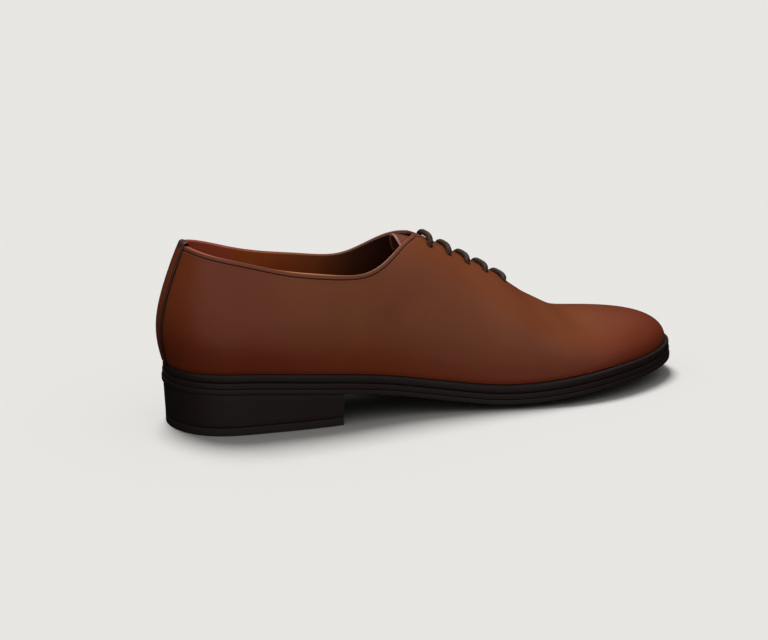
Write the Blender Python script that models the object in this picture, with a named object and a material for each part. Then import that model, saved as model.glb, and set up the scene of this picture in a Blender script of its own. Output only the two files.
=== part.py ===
"""Whole cut oxford dress shoe, the right shoe of a pair, standing empty on its sole.

Frame: +X runs from the heel to the toe, +Y to the wearer's left (the inner side
of a right foot), +Z up. The floor is z = 0 and the origin is the middle of the
heel's flat underside. All sizes are in metres.
"""
import math

import bmesh
import bpy
import numpy as np

# Driving sizes of the last
LAST_LENGTH = 0.3045      # feather line, back of the heel to the tip of the toe
LAST_WIDTH = 0.096        # feather line across the ball
SEAT_HEIGHT = 0.0344      # feather line above the floor at the back of the heel
CROWN_HEIGHT = 0.078      # top of the instep above the feather line
TOE_ROUND_FROM = 0.72     # share of the length where the toe begins to close in plan
TOE_DROP_FROM = 0.80      # share of the length where the toe begins to drop
HEEL_ROUND = 0.0375       # length of the round back of the heel
HEEL_AXIS_BLEND = 0.010   # softness of the change from the round heel to the sides
ROUND_POWER = 2.6         # fullness of the toe and heel in plan
SECTION_ACROSS = 2.08     # fullness of a section, across
SECTION_UP = 2.08         # fullness of a section, upwards
RIDGE_LIMIT = 0.45        # largest shift of the ridge, as a share of the half width
SWELL_SIZE = 0.0050       # largest outward swell, low on the side
SWELL_HEIGHT = 0.024      # height of the swell above the feather line
GAP = 0.0003              # clearance between touching pieces

# Upper: one wall, open at the collar, the throat and underneath
WALL = 0.0020             # leather with its lining
UPRIGHT_FOOT = 0.0015     # the wall stands upright this far above the feather line
FACING_TOP = 0.467        # share of the length at the top corners of the throat
FACING_END = 0.690        # share of the length where the throat closes
CREST_END = 0.895         # share of the length where the vamp's middle line ends
FACING_TOP_FOOT = 0.430   # foot of the section that ends at the facing's corner
FACING_END_FOOT = 0.640   # foot of the section that ends at the throat's end
SLIT_TOP = 0.0070         # width of the throat opening at its top
SLIT_END = 0.0024         # width of the throat opening near its end
CLOSER_AT_TOP = 1.15      # above 1, the wall's facets are shorter towards its top

# Eyelet holes and lace
EYELET_COUNT = 5          # pairs of holes
EYELET_FIRST = 0.494      # share of the length at the top pair
EYELET_LAST = 0.648       # share of the length at the bottom pair
EYELET_SPREAD = 0.0095    # distance of a hole from the middle line
EYELET_HOLE = 0.0040      # diameter of a punched hole
LACE_DIAMETER = 0.0026
LACE_DIP = 0.0012         # how far a bar's ends reach below the leather's face

# Strip over the back seam
STRIP_TOP_WIDTH = 0.0090
STRIP_END_WIDTH = 0.0045
STRIP_THICKNESS = 0.0008
STRIP_TAB = 0.0090        # length of the strip folded down inside the collar
STRIP_START = 0.012       # foot of the strip, as a share of the seam above the welt

# Tongue
TONGUE_THICKNESS = 0.0016
TONGUE_CLEARANCE = 0.0010 # between the tongue and the upper's lining
TONGUE_TOP = 0.428        # share of the length at the tongue's top edge
TONGUE_END = 0.735        # share of the length where the tongue ends under the vamp
TONGUE_TOP_WIDTH = 0.034
TONGUE_END_WIDTH = 0.026

# Insole and sole
INSOLE_RISE = 0.0030      # insole above the feather line
INSOLE_CLEARANCE = 0.0010 # between the insole's edge and the upper's lining
WELT_THICKNESS = 0.0045
WELT_INSIDE = 0.0020      # how far the welt reaches in under the upper
MIDSOLE_THICKNESS = 0.0030
OUTSOLE_THICKNESS = 0.0027
EDGE_EASE = 0.0006        # how far the outsole's edge draws in at its two corners
EDGE_FULL = 0.25          # depth of those corners, as a share of the thickness
MARGIN_TOE = 0.0024       # welt's edge outside the feather line at the toe
STEP_OUT = 0.0004         # each sole layer stands a little proud of the one above
SOLE_CROWN = 0.0050       # how far the middle of the sole hangs below its edge
CROWN_FULLNESS = 2.5      # flatness of that hang across the sole
TREAD_STARTS = 0.02       # share of the length from the breast to the hang's start
TREAD_RAMP = 0.12         # share of the length over which the hang grows
TREAD_ENDS_FROM = 0.62    # share of the length where the hang begins to fade

# Heel
HEEL_LENGTH = 0.0890
HEEL_INSET = 0.0008       # heel's top edge inside the outsole's edge
HEEL_TAPER = 0.0008       # how much further in the heel stands at its foot
TOP_PIECE_THICKNESS = 0.0045
HEEL_MIDDLE = HEEL_LENGTH / 2 - HEEL_INSET
HEEL_SKEW = -0.0038       # middle of the heel's underside, across the last

# Fineness of the meshes
COLLAR_STATIONS = 20
FACING_STATIONS = 12
VAMP_STATIONS = 15
WALL_ROWS = 9
WELT_STATIONS = 54
SOLE_STATIONS = 48
MIDSOLE_STATIONS = 40
INSOLE_STATIONS = 36
HEEL_STATIONS = 18
SOLE_COLUMNS = 8
FLAT_COLUMNS = 6
STRIP_ROWS, STRIP_COLUMNS = 16, 4
TONGUE_ROWS, TONGUE_COLUMNS = 18, 10
LACE_SIDES = 8
HOLE_SIDES = 10
FINE = 2000

# Colours of the finishes, as linear values
BROWN_CALF = (0.145, 0.048, 0.025)
TAN_LINING = (0.300, 0.110, 0.040)
DARK_EDGE = (0.012, 0.010, 0.009)
DARK_LACE = (0.030, 0.018, 0.012)

OUTER, INNER = -1, 1
SIDE_NAME = {OUTER: "outer", INNER: "inner"}


class Table:
    """Rows with named columns, read between the rows with a natural cubic curve."""

    def __init__(self, names, rows):
        self.names = names.split()
        self.rows = np.array(rows, float)
        self.share = self.rows[:, 0]
        self.bend = {name: self.second(self.rows[:, k]) for k, name in enumerate(self.names)}

    def second(self, values):
        """Second derivatives of the natural cubic curve through the rows."""
        step = np.diff(self.share)
        slope = np.diff(values) / step
        count = len(values)
        matrix = np.eye(count)
        right = np.zeros(count)
        for k in range(1, count - 1):
            matrix[k, k - 1:k + 2] = step[k - 1], 2 * (step[k - 1] + step[k]), step[k]
            right[k] = 6 * (slope[k] - slope[k - 1])
        return np.linalg.solve(matrix, right)

    def at(self, name, share):
        """Value of a column at a share of the length, which may be an array."""
        column = self.rows[:, self.names.index(name)]
        bend = self.bend[name]
        share = np.clip(share, self.share[0], self.share[-1])
        k = np.clip(np.searchsorted(self.share, share) - 1, 0, len(column) - 2)
        step = self.share[k + 1] - self.share[k]
        a = (self.share[k + 1] - share) / step
        b = 1 - a
        curve = ((a**3 - a) * bend[k] + (b**3 - b) * bend[k + 1]) * step**2 / 6
        return a * column[k] + b * column[k + 1] + curve


# Feather line from above: its middle and half width, as shares of the last's width
PLAN = Table("share middle half", [
    (0.000, 0.000, 0.328),
    (0.100, -0.027, 0.328),
    (0.200, -0.052, 0.326),
    (0.300, -0.062, 0.311),
    (0.400, -0.056, 0.296),
    (0.500, -0.036, 0.334),
    (0.600, -0.010, 0.415),
    (0.687, 0.014, 0.480),
    (0.760, 0.031, 0.499),
    (0.830, 0.038, 0.487),
    (0.900, 0.036, 0.455),
    (0.960, 0.031, 0.425),
    (1.000, 0.026, 0.410),
])

# Feather line from the side as shares of the seat height, the crown above it as
# shares of the crown height, and the ridge's shift to the inner side as a share
# of the last's width
PROFILE = Table("share feather crown ridge", [
    (0.000, 1.005, 1.150, 0.000),
    (0.100, 0.998, 1.085, 0.004),
    (0.200, 0.925, 1.020, 0.014),
    (0.300, 0.828, 0.995, 0.028),
    (0.400, 0.686, 0.985, 0.040),
    (0.467, 0.570, 0.982, 0.045),
    (0.510, 0.503, 0.932, 0.045),
    (0.580, 0.416, 0.812, 0.043),
    (0.646, 0.398, 0.668, 0.040),
    (0.686, 0.412, 0.550, 0.037),
    (0.736, 0.442, 0.425, 0.032),
    (0.780, 0.473, 0.328, 0.028),
    (0.834, 0.509, 0.280, 0.022),
    (0.900, 0.535, 0.272, 0.014),
    (0.950, 0.560, 0.278, 0.008),
    (1.000, 0.600, 0.290, 0.000),
])

# Topline as shares of the crown at the same place
COLLAR = Table("share outer inner", [
    (0.000, 0.729, 0.729),
    (0.050, 0.716, 0.720),
    (0.100, 0.708, 0.708),
    (0.150, 0.700, 0.700),
    (0.200, 0.690, 0.703),
    (0.270, 0.684, 0.710),
    (0.315, 0.690, 0.716),
    (0.355, 0.722, 0.755),
    (0.390, 0.795, 0.835),
    (0.435, 0.925, 0.945),
    (0.467, 0.994, 0.994),
])

# Outward swell low on each side, as shares of the largest swell
SWELL = Table("share outer inner", [
    (0.00, 0.78, 0.78),
    (0.15, 0.70, 0.75),
    (0.30, 0.50, 0.80),
    (0.45, 0.35, 0.90),
    (0.60, 0.20, 0.40),
    (0.75, 0.05, 0.10),
    (0.85, 0.00, 0.00),
    (1.00, 0.00, 0.00),
])

# How far the welt's edge stands outside the feather line, as shares of the toe's margin
MARGIN = Table("share reach", [
    (0.00, 0.30),
    (0.20, 0.40),
    (0.30, 0.75),
    (0.45, 1.00),
    (0.62, 1.30),
    (0.80, 1.25),
    (0.92, 1.05),
    (1.00, 1.00),
])


def closing(share, start, end, power):
    """Factor that rounds an end off: 1 before start, falling to 0 at end."""
    reach = np.clip((share - start) / (end - start), 0, 1)
    return np.sqrt(1 - reach**power)


def half_width(share):
    """Half width of the feather line."""
    toe = closing(share, TOE_ROUND_FROM, 1, ROUND_POWER)
    heel = closing(-share, -HEEL_ROUND / LAST_LENGTH, 0, ROUND_POWER)
    return PLAN.at("half", share) * LAST_WIDTH * toe * heel


def middle(share):
    """Place of the feather line's middle, across the last."""
    return PLAN.at("middle", share) * LAST_WIDTH


def ridge(share):
    """Shift of the top of a section to the inner side."""
    return PROFILE.at("ridge", share) * LAST_WIDTH


def feather_height(share):
    """Height of the feather line above the floor."""
    return PROFILE.at("feather", share) * SEAT_HEIGHT


def crown(share):
    """Height of the closed last above its feather line."""
    drop = closing(share, TOE_DROP_FROM, 1, ROUND_POWER)
    return PROFILE.at("crown", share) * CROWN_HEIGHT * drop


def feather(side, share):
    """Points of the feather line, from above."""
    return np.stack([share * LAST_LENGTH, middle(share) + side * half_width(share)], -1)


def axis(share):
    """Point on the middle line from which a section fans out, from above."""
    x = share * LAST_LENGTH
    soft = HEEL_AXIS_BLEND
    x = HEEL_ROUND + soft * np.logaddexp(0, (x - HEEL_ROUND) / soft)
    return np.stack([x, middle(share)], -1)


def swelling(side, share, height):
    """Outward swell of the side at a height above the feather line."""
    ratio = height / SWELL_HEIGHT
    size = SWELL_SIZE * SWELL.at(SIDE_NAME[side], share)
    return size * ratio * np.exp((1 - ratio**2) / 2)


def skin(side, share, turn):
    """Outer surface of the last: turn runs from 0 at the feather line to a
    quarter turn at the crown. A section is a quarter of a superellipse, shifted
    to the inner side along the ridge and swollen low on the side."""
    across = np.maximum(np.cos(turn), 0)**(2 / SECTION_ACROSS)
    height = crown(share) * np.sin(turn)**(2 / SECTION_UP)
    centre = axis(share)
    arm = feather(side, share) - centre
    plan = centre + arm * across[..., None]
    plan[..., 1] += ridge(share) * (1 - across**2)
    length = np.maximum(np.linalg.norm(arm, axis=-1), 1e-9)
    plan += arm * (swelling(side, share, height) * np.sqrt(across) / length)[..., None]
    return np.concatenate([plan, (feather_height(share) + height)[..., None]], -1)


def roof(side, plan):
    """Outer surface over the vamp and toe, as a height over a point from above, with
    the same swell as the sides."""
    share = np.clip(plan[..., 0] / LAST_LENGTH, 0, 1)
    half = np.maximum(half_width(share), 1e-9)
    shift = np.minimum(ridge(share), half * RIDGE_LIMIT)
    away = plan[..., 1] - middle(share) - shift
    root = np.sqrt(np.maximum(half**2 - 4 * shift * away, 0))
    across = np.clip(np.abs(2 * away / (half + root)), 0, 1)
    height = crown(share) * (1 - across**SECTION_ACROSS)**(1 / SECTION_UP)
    swell = side * swelling(side, share, height) * np.sqrt(across)
    return np.stack([plan[..., 0], plan[..., 1] + swell, feather_height(share) + height], -1)


def crest_spot(share, away):
    """Point of the closed last at a distance to the inner side of its ridge."""
    across = np.clip(np.abs(away) / half_width(share), 0, 1)
    height = crown(share) * (1 - across**SECTION_ACROSS)**(1 / SECTION_UP)
    y = middle(share) + ridge(share) * (1 - across**2) + away
    return np.stack([share * LAST_LENGTH, y, feather_height(share) + height], -1)


def crest_frame(share, away, step=1e-4):
    """Point of the closed last near its ridge, with the outward direction there."""
    along = crest_spot(share + step, away) - crest_spot(share - step, away)
    over = crest_spot(share, away + step) - crest_spot(share, away - step)
    normal = np.cross(along, over)
    return crest_spot(share, away), normal / np.linalg.norm(normal, axis=-1)[..., None]


def slit_half(share):
    """Half of the throat's opening at a share of the length."""
    part = (share - FACING_TOP) / (FACING_END - FACING_TOP)
    return (SLIT_TOP + (SLIT_END - SLIT_TOP) * part) / 2


def walk():
    """Shares of the length from heel to toe, and the way there along the feather line."""
    shares = (1 - np.cos(np.linspace(0, math.pi, FINE + 1))) / 2
    steps = np.linalg.norm(np.diff(feather(OUTER, shares), axis=0), axis=1)
    return shares, np.concatenate([[0], np.cumsum(steps)])


def evenly(start, end, count):
    """Shares of the length that lie evenly along the feather line."""
    shares, walked = walk()
    ends = np.interp([start, end], shares, walked)
    return np.interp(np.linspace(*ends, count + 1), walked, shares)


def share_after(distance):
    """Share of the length at a distance along the feather line from the back."""
    shares, walked = walk()
    return np.interp(distance, walked, shares)


def upper_grid(side):
    """Outer surface of the upper on one side: sections from the back to the toe,
    each from the feather line to the topline, the facing's edge or the crest."""
    collar = COLLAR_STATIONS
    foot = np.concatenate([
        evenly(0, FACING_TOP_FOOT, collar),
        evenly(FACING_TOP_FOOT, FACING_END_FOOT, FACING_STATIONS)[1:],
    ])
    top = np.concatenate([
        foot[:collar + 1] * FACING_TOP / FACING_TOP_FOOT,
        np.linspace(FACING_TOP, FACING_END, FACING_STATIONS + 1)[1:],
    ])
    turn_end = np.arcsin(np.clip(COLLAR.at(SIDE_NAME[side], top), 0, 1)**(SECTION_UP / 2))
    edge = slit_half(top[collar:]) / half_width(top[collar:])
    turn_end[collar:] = np.arccos(edge**(SECTION_ACROSS / 2))
    turn_end[-1] = math.pi / 2
    part = 1 - (1 - np.linspace(0, 1, WALL_ROWS + 1))**CLOSER_AT_TOP
    share = foot[:, None] + (top - foot)[:, None] * part
    sides = skin(side, share, turn_end[:, None] * part)
    crest = np.linspace(FACING_END, CREST_END, VAMP_STATIONS + 1)[1:]
    start = feather(side, evenly(FACING_END_FOOT, 1, VAMP_STATIONS)[1:])
    end = np.stack([crest * LAST_LENGTH, middle(crest) + ridge(crest)], -1)
    blend = (1 - np.cos(part * math.pi / 2))[None, :, None]
    vamp = roof(side, start[:, None] + (end - start)[:, None] * blend)
    grid = np.concatenate([sides, vamp])
    foot_top = grid[:, :1] + np.array([0, 0, UPRIGHT_FOOT])
    return np.concatenate([grid[:, :1], foot_top, grid[:, 1:]], 1)


def place(points):
    """Moves points from the last's own frame to the part's frame."""
    return np.asarray(points) - np.array([HEEL_MIDDLE, HEEL_SKEW, 0])


def make_material(name, colour, roughness):
    """Plain finish of one piece."""
    material = bpy.data.materials.new(name)
    material.use_nodes = True
    shader = material.node_tree.nodes["Principled BSDF"]
    shader.inputs["Base Color"].default_value = (*colour, 1)
    shader.inputs["Roughness"].default_value = roughness
    shader.inputs["Metallic"].default_value = 0
    return material


def make_object(name, points, faces, colour, roughness):
    """Smooth object from points and faces, with coinciding points joined."""
    mesh = bpy.data.meshes.new(name)
    mesh.from_pydata([tuple(p) for p in place(points)], [], [tuple(map(int, f)) for f in faces])
    body = bmesh.new()
    body.from_mesh(mesh)
    bmesh.ops.remove_doubles(body, verts=body.verts, dist=2e-6)
    bmesh.ops.dissolve_degenerate(body, edges=body.edges, dist=1e-6)
    bmesh.ops.recalc_face_normals(body, faces=body.faces)
    body.to_mesh(mesh)
    body.free()
    mesh.shade_smooth()
    mesh.materials.append(make_material(name + " finish", colour, roughness))
    thing = bpy.data.objects.new(name, mesh)
    bpy.context.collection.objects.link(thing)
    return thing


def grid_faces(rows, columns, start=0, wrap=False):
    """Quads of a grid of rows by columns points, wrapped along its columns if asked."""
    index = np.arange(rows * columns).reshape(rows, columns) + start
    if wrap:
        index = np.concatenate([index, index[:, :1]], 1)
    low, high = index[:-1], index[1:]
    return np.stack([low[:, :-1], low[:, 1:], high[:, 1:], high[:, :-1]], -1).reshape(-1, 4)


def closed_faces(rows, columns):
    """Faces of a row of closed loops, with a cap on the first and the last loop."""
    caps = [np.arange(columns)[::-1], np.arange(columns) + (rows - 1) * columns]
    return list(grid_faces(rows, columns, wrap=True)) + caps


def ring(count):
    """Shares and points once round the feather line, with outward directions."""
    share = evenly(0, 1, count)
    line = np.concatenate([feather(OUTER, share), feather(INNER, share)[-2:0:-1]])
    shares = np.concatenate([share, share[-2:0:-1]])
    along = np.roll(line, -1, axis=0) - np.roll(line, 1, axis=0)
    out = np.stack([along[:, 1], -along[:, 0]], -1)
    out /= np.linalg.norm(out, axis=1)[:, None]
    return shares, line, out


def edge_lines(count, reach, end):
    """Outer and inner side of the outline moved outwards by reach(share)."""
    shares, line, out = ring(FINE)
    moved = line + out * reach(shares)[:, None]
    wanted = evenly(0, end, count)
    forward = np.arange(FINE + 1)
    sides = []
    for order in (forward, -forward % len(line)):
        points = [np.interp(wanted, shares[order], moved[order, k]) for k in (0, 1)]
        sides.append(np.stack(points, -1))
    return sides


def slab(name, count, sides, top, bottom, roughness, colour=DARK_EDGE, end=1.0, columns=FLAT_COLUMNS):
    """Solid plate: sides lists (reach outside the feather line, part of the height)
    from the top edge to the bottom edge. Top and bottom give the height at a share
    of the length and a place across, from -1 at the outer edge to 1 at the inner."""
    lines = [edge_lines(count, reach, end) for reach, _ in sides]
    share = evenly(0, end, count)[:, None]
    across = np.linspace(-1, 1, columns + 1)[None]

    def face(line, height):
        outer, inner = line
        plan = outer[:, None] + (inner - outer)[:, None] * ((across + 1) / 2)[..., None]
        z = height(share + 0 * across, across + 0 * share)
        return np.concatenate([plan, z[..., None]], -1)

    upper_face = face(lines[0], top)
    lower_face = face(lines[-1], bottom)

    def edge(line, part, column):
        high, low = upper_face[:, column, 2], lower_face[:, column, 2]
        return np.concatenate([line, (high + (low - high) * part)[:, None]], -1)[:, None]

    between = list(zip(lines, sides))[1:-1]
    inner_edge = [edge(line[1], part, -1) for line, (_, part) in between]
    outer_edge = [edge(line[0], part, 0) for line, (_, part) in between[::-1]]
    points = np.concatenate([upper_face] + inner_edge + [lower_face[:, ::-1]] + outer_edge, 1)
    return make_object(name, points.reshape(-1, 3), closed_faces(*points.shape[:2]), colour, roughness)


def band(name, count, profile, roughness):
    """Closed band round the feather line: profile lists (reach outside the feather
    line, height above it) once round the band's section."""
    shares, line, out = ring(count)
    z = feather_height(shares)
    rows = []
    for reach, height in profile:
        plan = line + out * reach(shares)[:, None]
        rows.append(np.concatenate([plan, (z + height)[:, None]], -1)[:, None])
    points = np.concatenate(rows, 1)
    points = np.concatenate([points, points[:1]])
    faces = grid_faces(*points.shape[:2], wrap=True)
    return make_object(name, points.reshape(-1, 3), faces, DARK_EDGE, roughness)


def make_upper():
    """Upper: one wall over the last, open at the collar, throat and underneath."""
    points = []
    faces = []
    for side in (OUTER, INNER):
        grid = upper_grid(side)
        quads = grid_faces(*grid.shape[:2], start=len(points))
        faces.extend(quads if side == OUTER else quads[:, ::-1])
        points.extend(grid.reshape(-1, 3))
    upper = make_object("upper", points, faces, BROWN_CALF, 0.3)
    body = bmesh.new()
    body.from_mesh(upper.data)
    if sum(f.normal.z * f.calc_area() for f in body.faces) < 0:
        bmesh.ops.reverse_faces(body, faces=body.faces)
    body.to_mesh(upper.data)
    body.free()
    wall = upper.modifiers.new("wall", "SOLIDIFY")
    wall.thickness = WALL
    wall.offset = -1
    wall.use_even_offset = True
    holes = upper.modifiers.new("eyelet holes", "BOOLEAN")
    holes.operation = "DIFFERENCE"
    holes.object = make_hole_cutters()


def tube(path, radius, sides):
    """Points and faces of a round bar along a path, with flat ends."""
    path = np.asarray(path)
    along = np.gradient(path, axis=0)
    along /= np.linalg.norm(along, axis=1)[:, None]
    first = np.cross(along, [1.0, 0, 0])
    first /= np.linalg.norm(first, axis=1)[:, None]
    second = np.cross(along, first)
    turn = np.linspace(0, 2 * math.pi, sides, endpoint=False)[None, :, None]
    around = first[:, None] * np.cos(turn) + second[:, None] * np.sin(turn)
    points = (path[:, None] + around * radius).reshape(-1, 3)
    return points, closed_faces(len(path), sides)


def make_hole_cutters():
    """Round cutters through the wall at each eyelet."""
    points = []
    faces = []
    for share in np.linspace(EYELET_FIRST, EYELET_LAST, EYELET_COUNT):
        for side in (OUTER, INNER):
            spot, normal = crest_frame(share, side * EYELET_SPREAD)
            path = [spot - normal * WALL * 2, spot, spot + normal * WALL]
            bar_points, bar_faces = tube(path, EYELET_HOLE / 2, HOLE_SIDES)
            faces.extend([np.asarray(face) + len(points) for face in bar_faces])
            points.extend(bar_points)
    cutter = make_object("eyelet_cutters", points, faces, DARK_EDGE, 0.5)
    cutter.hide_render = True
    cutter.display_type = "WIRE"
    return cutter


def strip_line(side, share, lift):
    """One line of the back strip: up the seam at a lift above the leather, over the
    collar's edge and down inside it."""
    turn_top = math.asin(COLLAR.at("outer", 0.0)**(SECTION_UP / 2))
    part = np.linspace(STRIP_START, 1, STRIP_ROWS + 1)
    step = 1e-4
    here = skin(side, share, turn_top * part)
    up = skin(side, share, turn_top * (part + step)) - skin(side, share, turn_top * (part - step))
    up /= np.linalg.norm(up, axis=1)[:, None]
    outward = here - np.array([HEEL_ROUND, 0, 0])
    outward[:, 2] = 0
    normal = outward - up * np.sum(outward * up, axis=1)[:, None]
    normal /= np.linalg.norm(normal, axis=1)[:, None]
    seam = np.sum(np.linalg.norm(np.diff(here, axis=0), axis=1))
    tab_rows = max(1, int(round(STRIP_TAB / seam * STRIP_ROWS)))
    outside = here + normal * lift
    inside = (here - normal * (WALL + lift))[::-1][:tab_rows + 1]
    rise = up[-1] * lift
    over = [outside[-1] + rise, here[-1] + rise - normal[-1] * WALL / 2, inside[0] + rise]
    return np.concatenate([outside, over, inside])


def make_back_strip():
    """Narrow strip over the back seam, folded over the collar at its top."""
    part = np.linspace(STRIP_START, 1, STRIP_ROWS + 1)
    width = STRIP_END_WIDTH + (STRIP_TOP_WIDTH - STRIP_END_WIDTH) * part**1.5
    faces = []
    for lift in (GAP, GAP + STRIP_THICKNESS):
        lines = []
        for column in np.linspace(-1, 1, STRIP_COLUMNS + 1):
            side = OUTER if column < 0 else INNER
            lines.append(strip_line(side, share_after(abs(column) * width / 2), lift))
        faces.append(np.stack(lines, 1))
    near, far = faces
    loops = np.concatenate([near, far[:, ::-1]], 1)
    make_object("back_strip", loops.reshape(-1, 3), closed_faces(*loops.shape[:2]), BROWN_CALF, 0.35)


def make_tongue():
    """Tongue: a curved leather plate just under the facings and the vamp."""
    share = np.linspace(TONGUE_TOP, TONGUE_END, TONGUE_ROWS + 1)[:, None]
    width = np.linspace(TONGUE_TOP_WIDTH, TONGUE_END_WIDTH, TONGUE_ROWS + 1)[:, None]
    away = np.linspace(-0.5, 0.5, TONGUE_COLUMNS + 1)[None] * width
    spot, normal = crest_frame(share + 0 * away, away)
    top = spot - normal * (WALL + TONGUE_CLEARANCE)
    under = top - normal * TONGUE_THICKNESS
    loops = np.concatenate([top, under[:, ::-1]], 1)
    make_object("tongue", loops.reshape(-1, 3), closed_faces(*loops.shape[:2]), BROWN_CALF, 0.4)


def make_lace():
    """Straight bars of round lace, each bent down into its pair of holes."""
    radius = LACE_DIAMETER / 2
    bent = np.array([2 / 3, 0.96, 1.0])
    height = np.array([radius + GAP + 0.3 * radius, 0.7 * radius, -LACE_DIP])
    half = np.concatenate([np.linspace(0, bent[0], 5), bent[1:]])
    across = np.concatenate([-half[:0:-1], half])
    lift = np.interp(np.abs(across), bent, height)
    for number, share in enumerate(np.linspace(EYELET_FIRST, EYELET_LAST, EYELET_COUNT), 1):
        spot, normal = crest_frame(share + 0 * across, across * EYELET_SPREAD)
        points, faces = tube(spot + normal * lift[:, None], radius, LACE_SIDES)
        make_object("lace_bar_%d" % number, points, faces, DARK_LACE, 0.8)


def edge_reach(step):
    """Reach of the sole's edge outside the feather line, moved out by a step."""
    return lambda share: MARGIN_TOE * MARGIN.at("reach", share) + step


def below_feather(drop):
    """Height at a drop below the feather line, the same all the way across."""
    return lambda share, across: feather_height(share) - drop


def make_welt():
    """Rounded welt bead under the feather line."""
    bead = WELT_THICKNESS
    band("welt", WELT_STATIONS, [
        (lambda share: 0 * share - WELT_INSIDE, -GAP),
        (edge_reach(-0.30 * bead), -GAP),
        (edge_reach(-0.06 * bead), -GAP - 0.22 * bead),
        (edge_reach(0), -GAP - 0.50 * bead),
        (edge_reach(-0.06 * bead), -GAP - 0.78 * bead),
        (edge_reach(-0.25 * bead), -bead),
        (lambda share: 0 * share - WELT_INSIDE, -bead),
    ], 0.35)


def make_midsole():
    """Middle layer of the sole, below the welt."""
    edge = edge_reach(STEP_OUT)
    top = below_feather(WELT_THICKNESS + GAP)
    bottom = below_feather(WELT_THICKNESS + GAP + MIDSOLE_THICKNESS)
    slab("midsole", MIDSOLE_STATIONS, [(edge, 0), (edge, 1)], top, bottom, 0.4)


def outsole_bottom(share, across):
    """Underside of the outsole: it hangs lower in the middle and is flat where it
    would pass the floor. Behind the breast it is plain for the heel."""
    edge = feather_height(share) - WELT_THICKNESS - MIDSOLE_THICKNESS - OUTSOLE_THICKNESS - 2 * GAP
    front = np.clip((share - HEEL_LENGTH / LAST_LENGTH - TREAD_STARTS) / TREAD_RAMP, 0, 1)
    front = front * front * (3 - 2 * front)
    fade = closing(share, TREAD_ENDS_FROM, 1.0, 2)
    return np.maximum(edge - SOLE_CROWN * front * fade * (1 - np.abs(across)**CROWN_FULLNESS), 0)


def make_outsole():
    """Outsole, with its edge eased at both corners."""
    full = edge_reach(2 * STEP_OUT)
    eased = edge_reach(2 * STEP_OUT - EDGE_EASE)
    top = below_feather(WELT_THICKNESS + MIDSOLE_THICKNESS + 2 * GAP)
    sides = [(eased, 0), (full, EDGE_FULL), (full, 1 - EDGE_FULL), (eased, 1)]
    slab("outsole", SOLE_STATIONS, sides, top, outsole_bottom, 0.4, columns=SOLE_COLUMNS)


def make_insole():
    """Insole, which fills the foot of the upper down to the midsole."""
    edge = lambda share: 0 * share - WALL - INSOLE_CLEARANCE
    top = below_feather(-INSOLE_RISE)
    bottom = below_feather(WELT_THICKNESS)
    slab("insole", INSOLE_STATIONS, [(edge, 0), (edge, 1)], top, bottom, 0.6, TAN_LINING)


def make_heel():
    """Stacked heel under the seat, and the rubber top piece below it."""
    end = HEEL_LENGTH / LAST_LENGTH
    top_edge = edge_reach(2 * STEP_OUT - HEEL_INSET)
    foot_edge = edge_reach(2 * STEP_OUT - HEEL_INSET - HEEL_TAPER)
    slab("heel", HEEL_STATIONS, [(top_edge, 0), (foot_edge, 1)],
         lambda share, across: outsole_bottom(share, across) - GAP,
         lambda share, across: 0 * share + TOP_PIECE_THICKNESS + GAP, 0.35, end=end)
    slab("top_piece", HEEL_STATIONS, [(foot_edge, 0), (foot_edge, 1)],
         lambda share, across: 0 * share + TOP_PIECE_THICKNESS,
         lambda share, across: 0 * share, 0.6, end=end)


def main():
    for thing in list(bpy.data.objects):
        bpy.data.objects.remove(thing, do_unlink=True)
    make_upper()
    make_back_strip()
    make_tongue()
    make_lace()
    make_insole()
    make_welt()
    make_midsole()
    make_outsole()
    make_heel()


main()
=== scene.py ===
"""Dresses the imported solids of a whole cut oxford: calf, lining, lace, edges and studio.

The frame is in metres, +X from the heel to the toe, +Y to the inner side of the
right foot, +Z up, with the floor at z = 0 and the origin under the heel.
"""
import math

import bmesh
import bpy
import numpy as np
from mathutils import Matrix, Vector


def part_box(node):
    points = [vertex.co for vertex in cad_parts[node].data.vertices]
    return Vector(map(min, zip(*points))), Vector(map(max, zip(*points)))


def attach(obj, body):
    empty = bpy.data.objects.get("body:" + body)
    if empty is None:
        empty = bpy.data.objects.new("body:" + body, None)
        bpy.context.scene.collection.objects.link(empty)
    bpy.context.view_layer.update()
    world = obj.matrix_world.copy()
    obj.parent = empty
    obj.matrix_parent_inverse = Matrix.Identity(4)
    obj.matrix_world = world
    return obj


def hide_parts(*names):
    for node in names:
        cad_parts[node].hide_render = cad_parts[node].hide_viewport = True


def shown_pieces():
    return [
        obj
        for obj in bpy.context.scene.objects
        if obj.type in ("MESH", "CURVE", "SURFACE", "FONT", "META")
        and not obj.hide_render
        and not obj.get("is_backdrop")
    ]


bl_info = {
    "name": "Whole cut oxford",
    "version": (1, 0, 0),
    "blender": (4, 5, 0),
    "location": "3D View > Sidebar > Oxford",
    "description": "Dresses the solids of a whole cut oxford in leather, lace and edge finishes",
    "category": "Object",
}

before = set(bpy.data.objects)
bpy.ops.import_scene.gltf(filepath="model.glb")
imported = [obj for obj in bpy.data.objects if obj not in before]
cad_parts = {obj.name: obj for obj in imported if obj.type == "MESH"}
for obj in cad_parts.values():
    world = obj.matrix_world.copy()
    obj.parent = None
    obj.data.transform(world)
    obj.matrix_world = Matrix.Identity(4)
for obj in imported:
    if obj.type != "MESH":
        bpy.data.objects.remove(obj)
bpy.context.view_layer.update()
BODY = "root"

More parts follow.
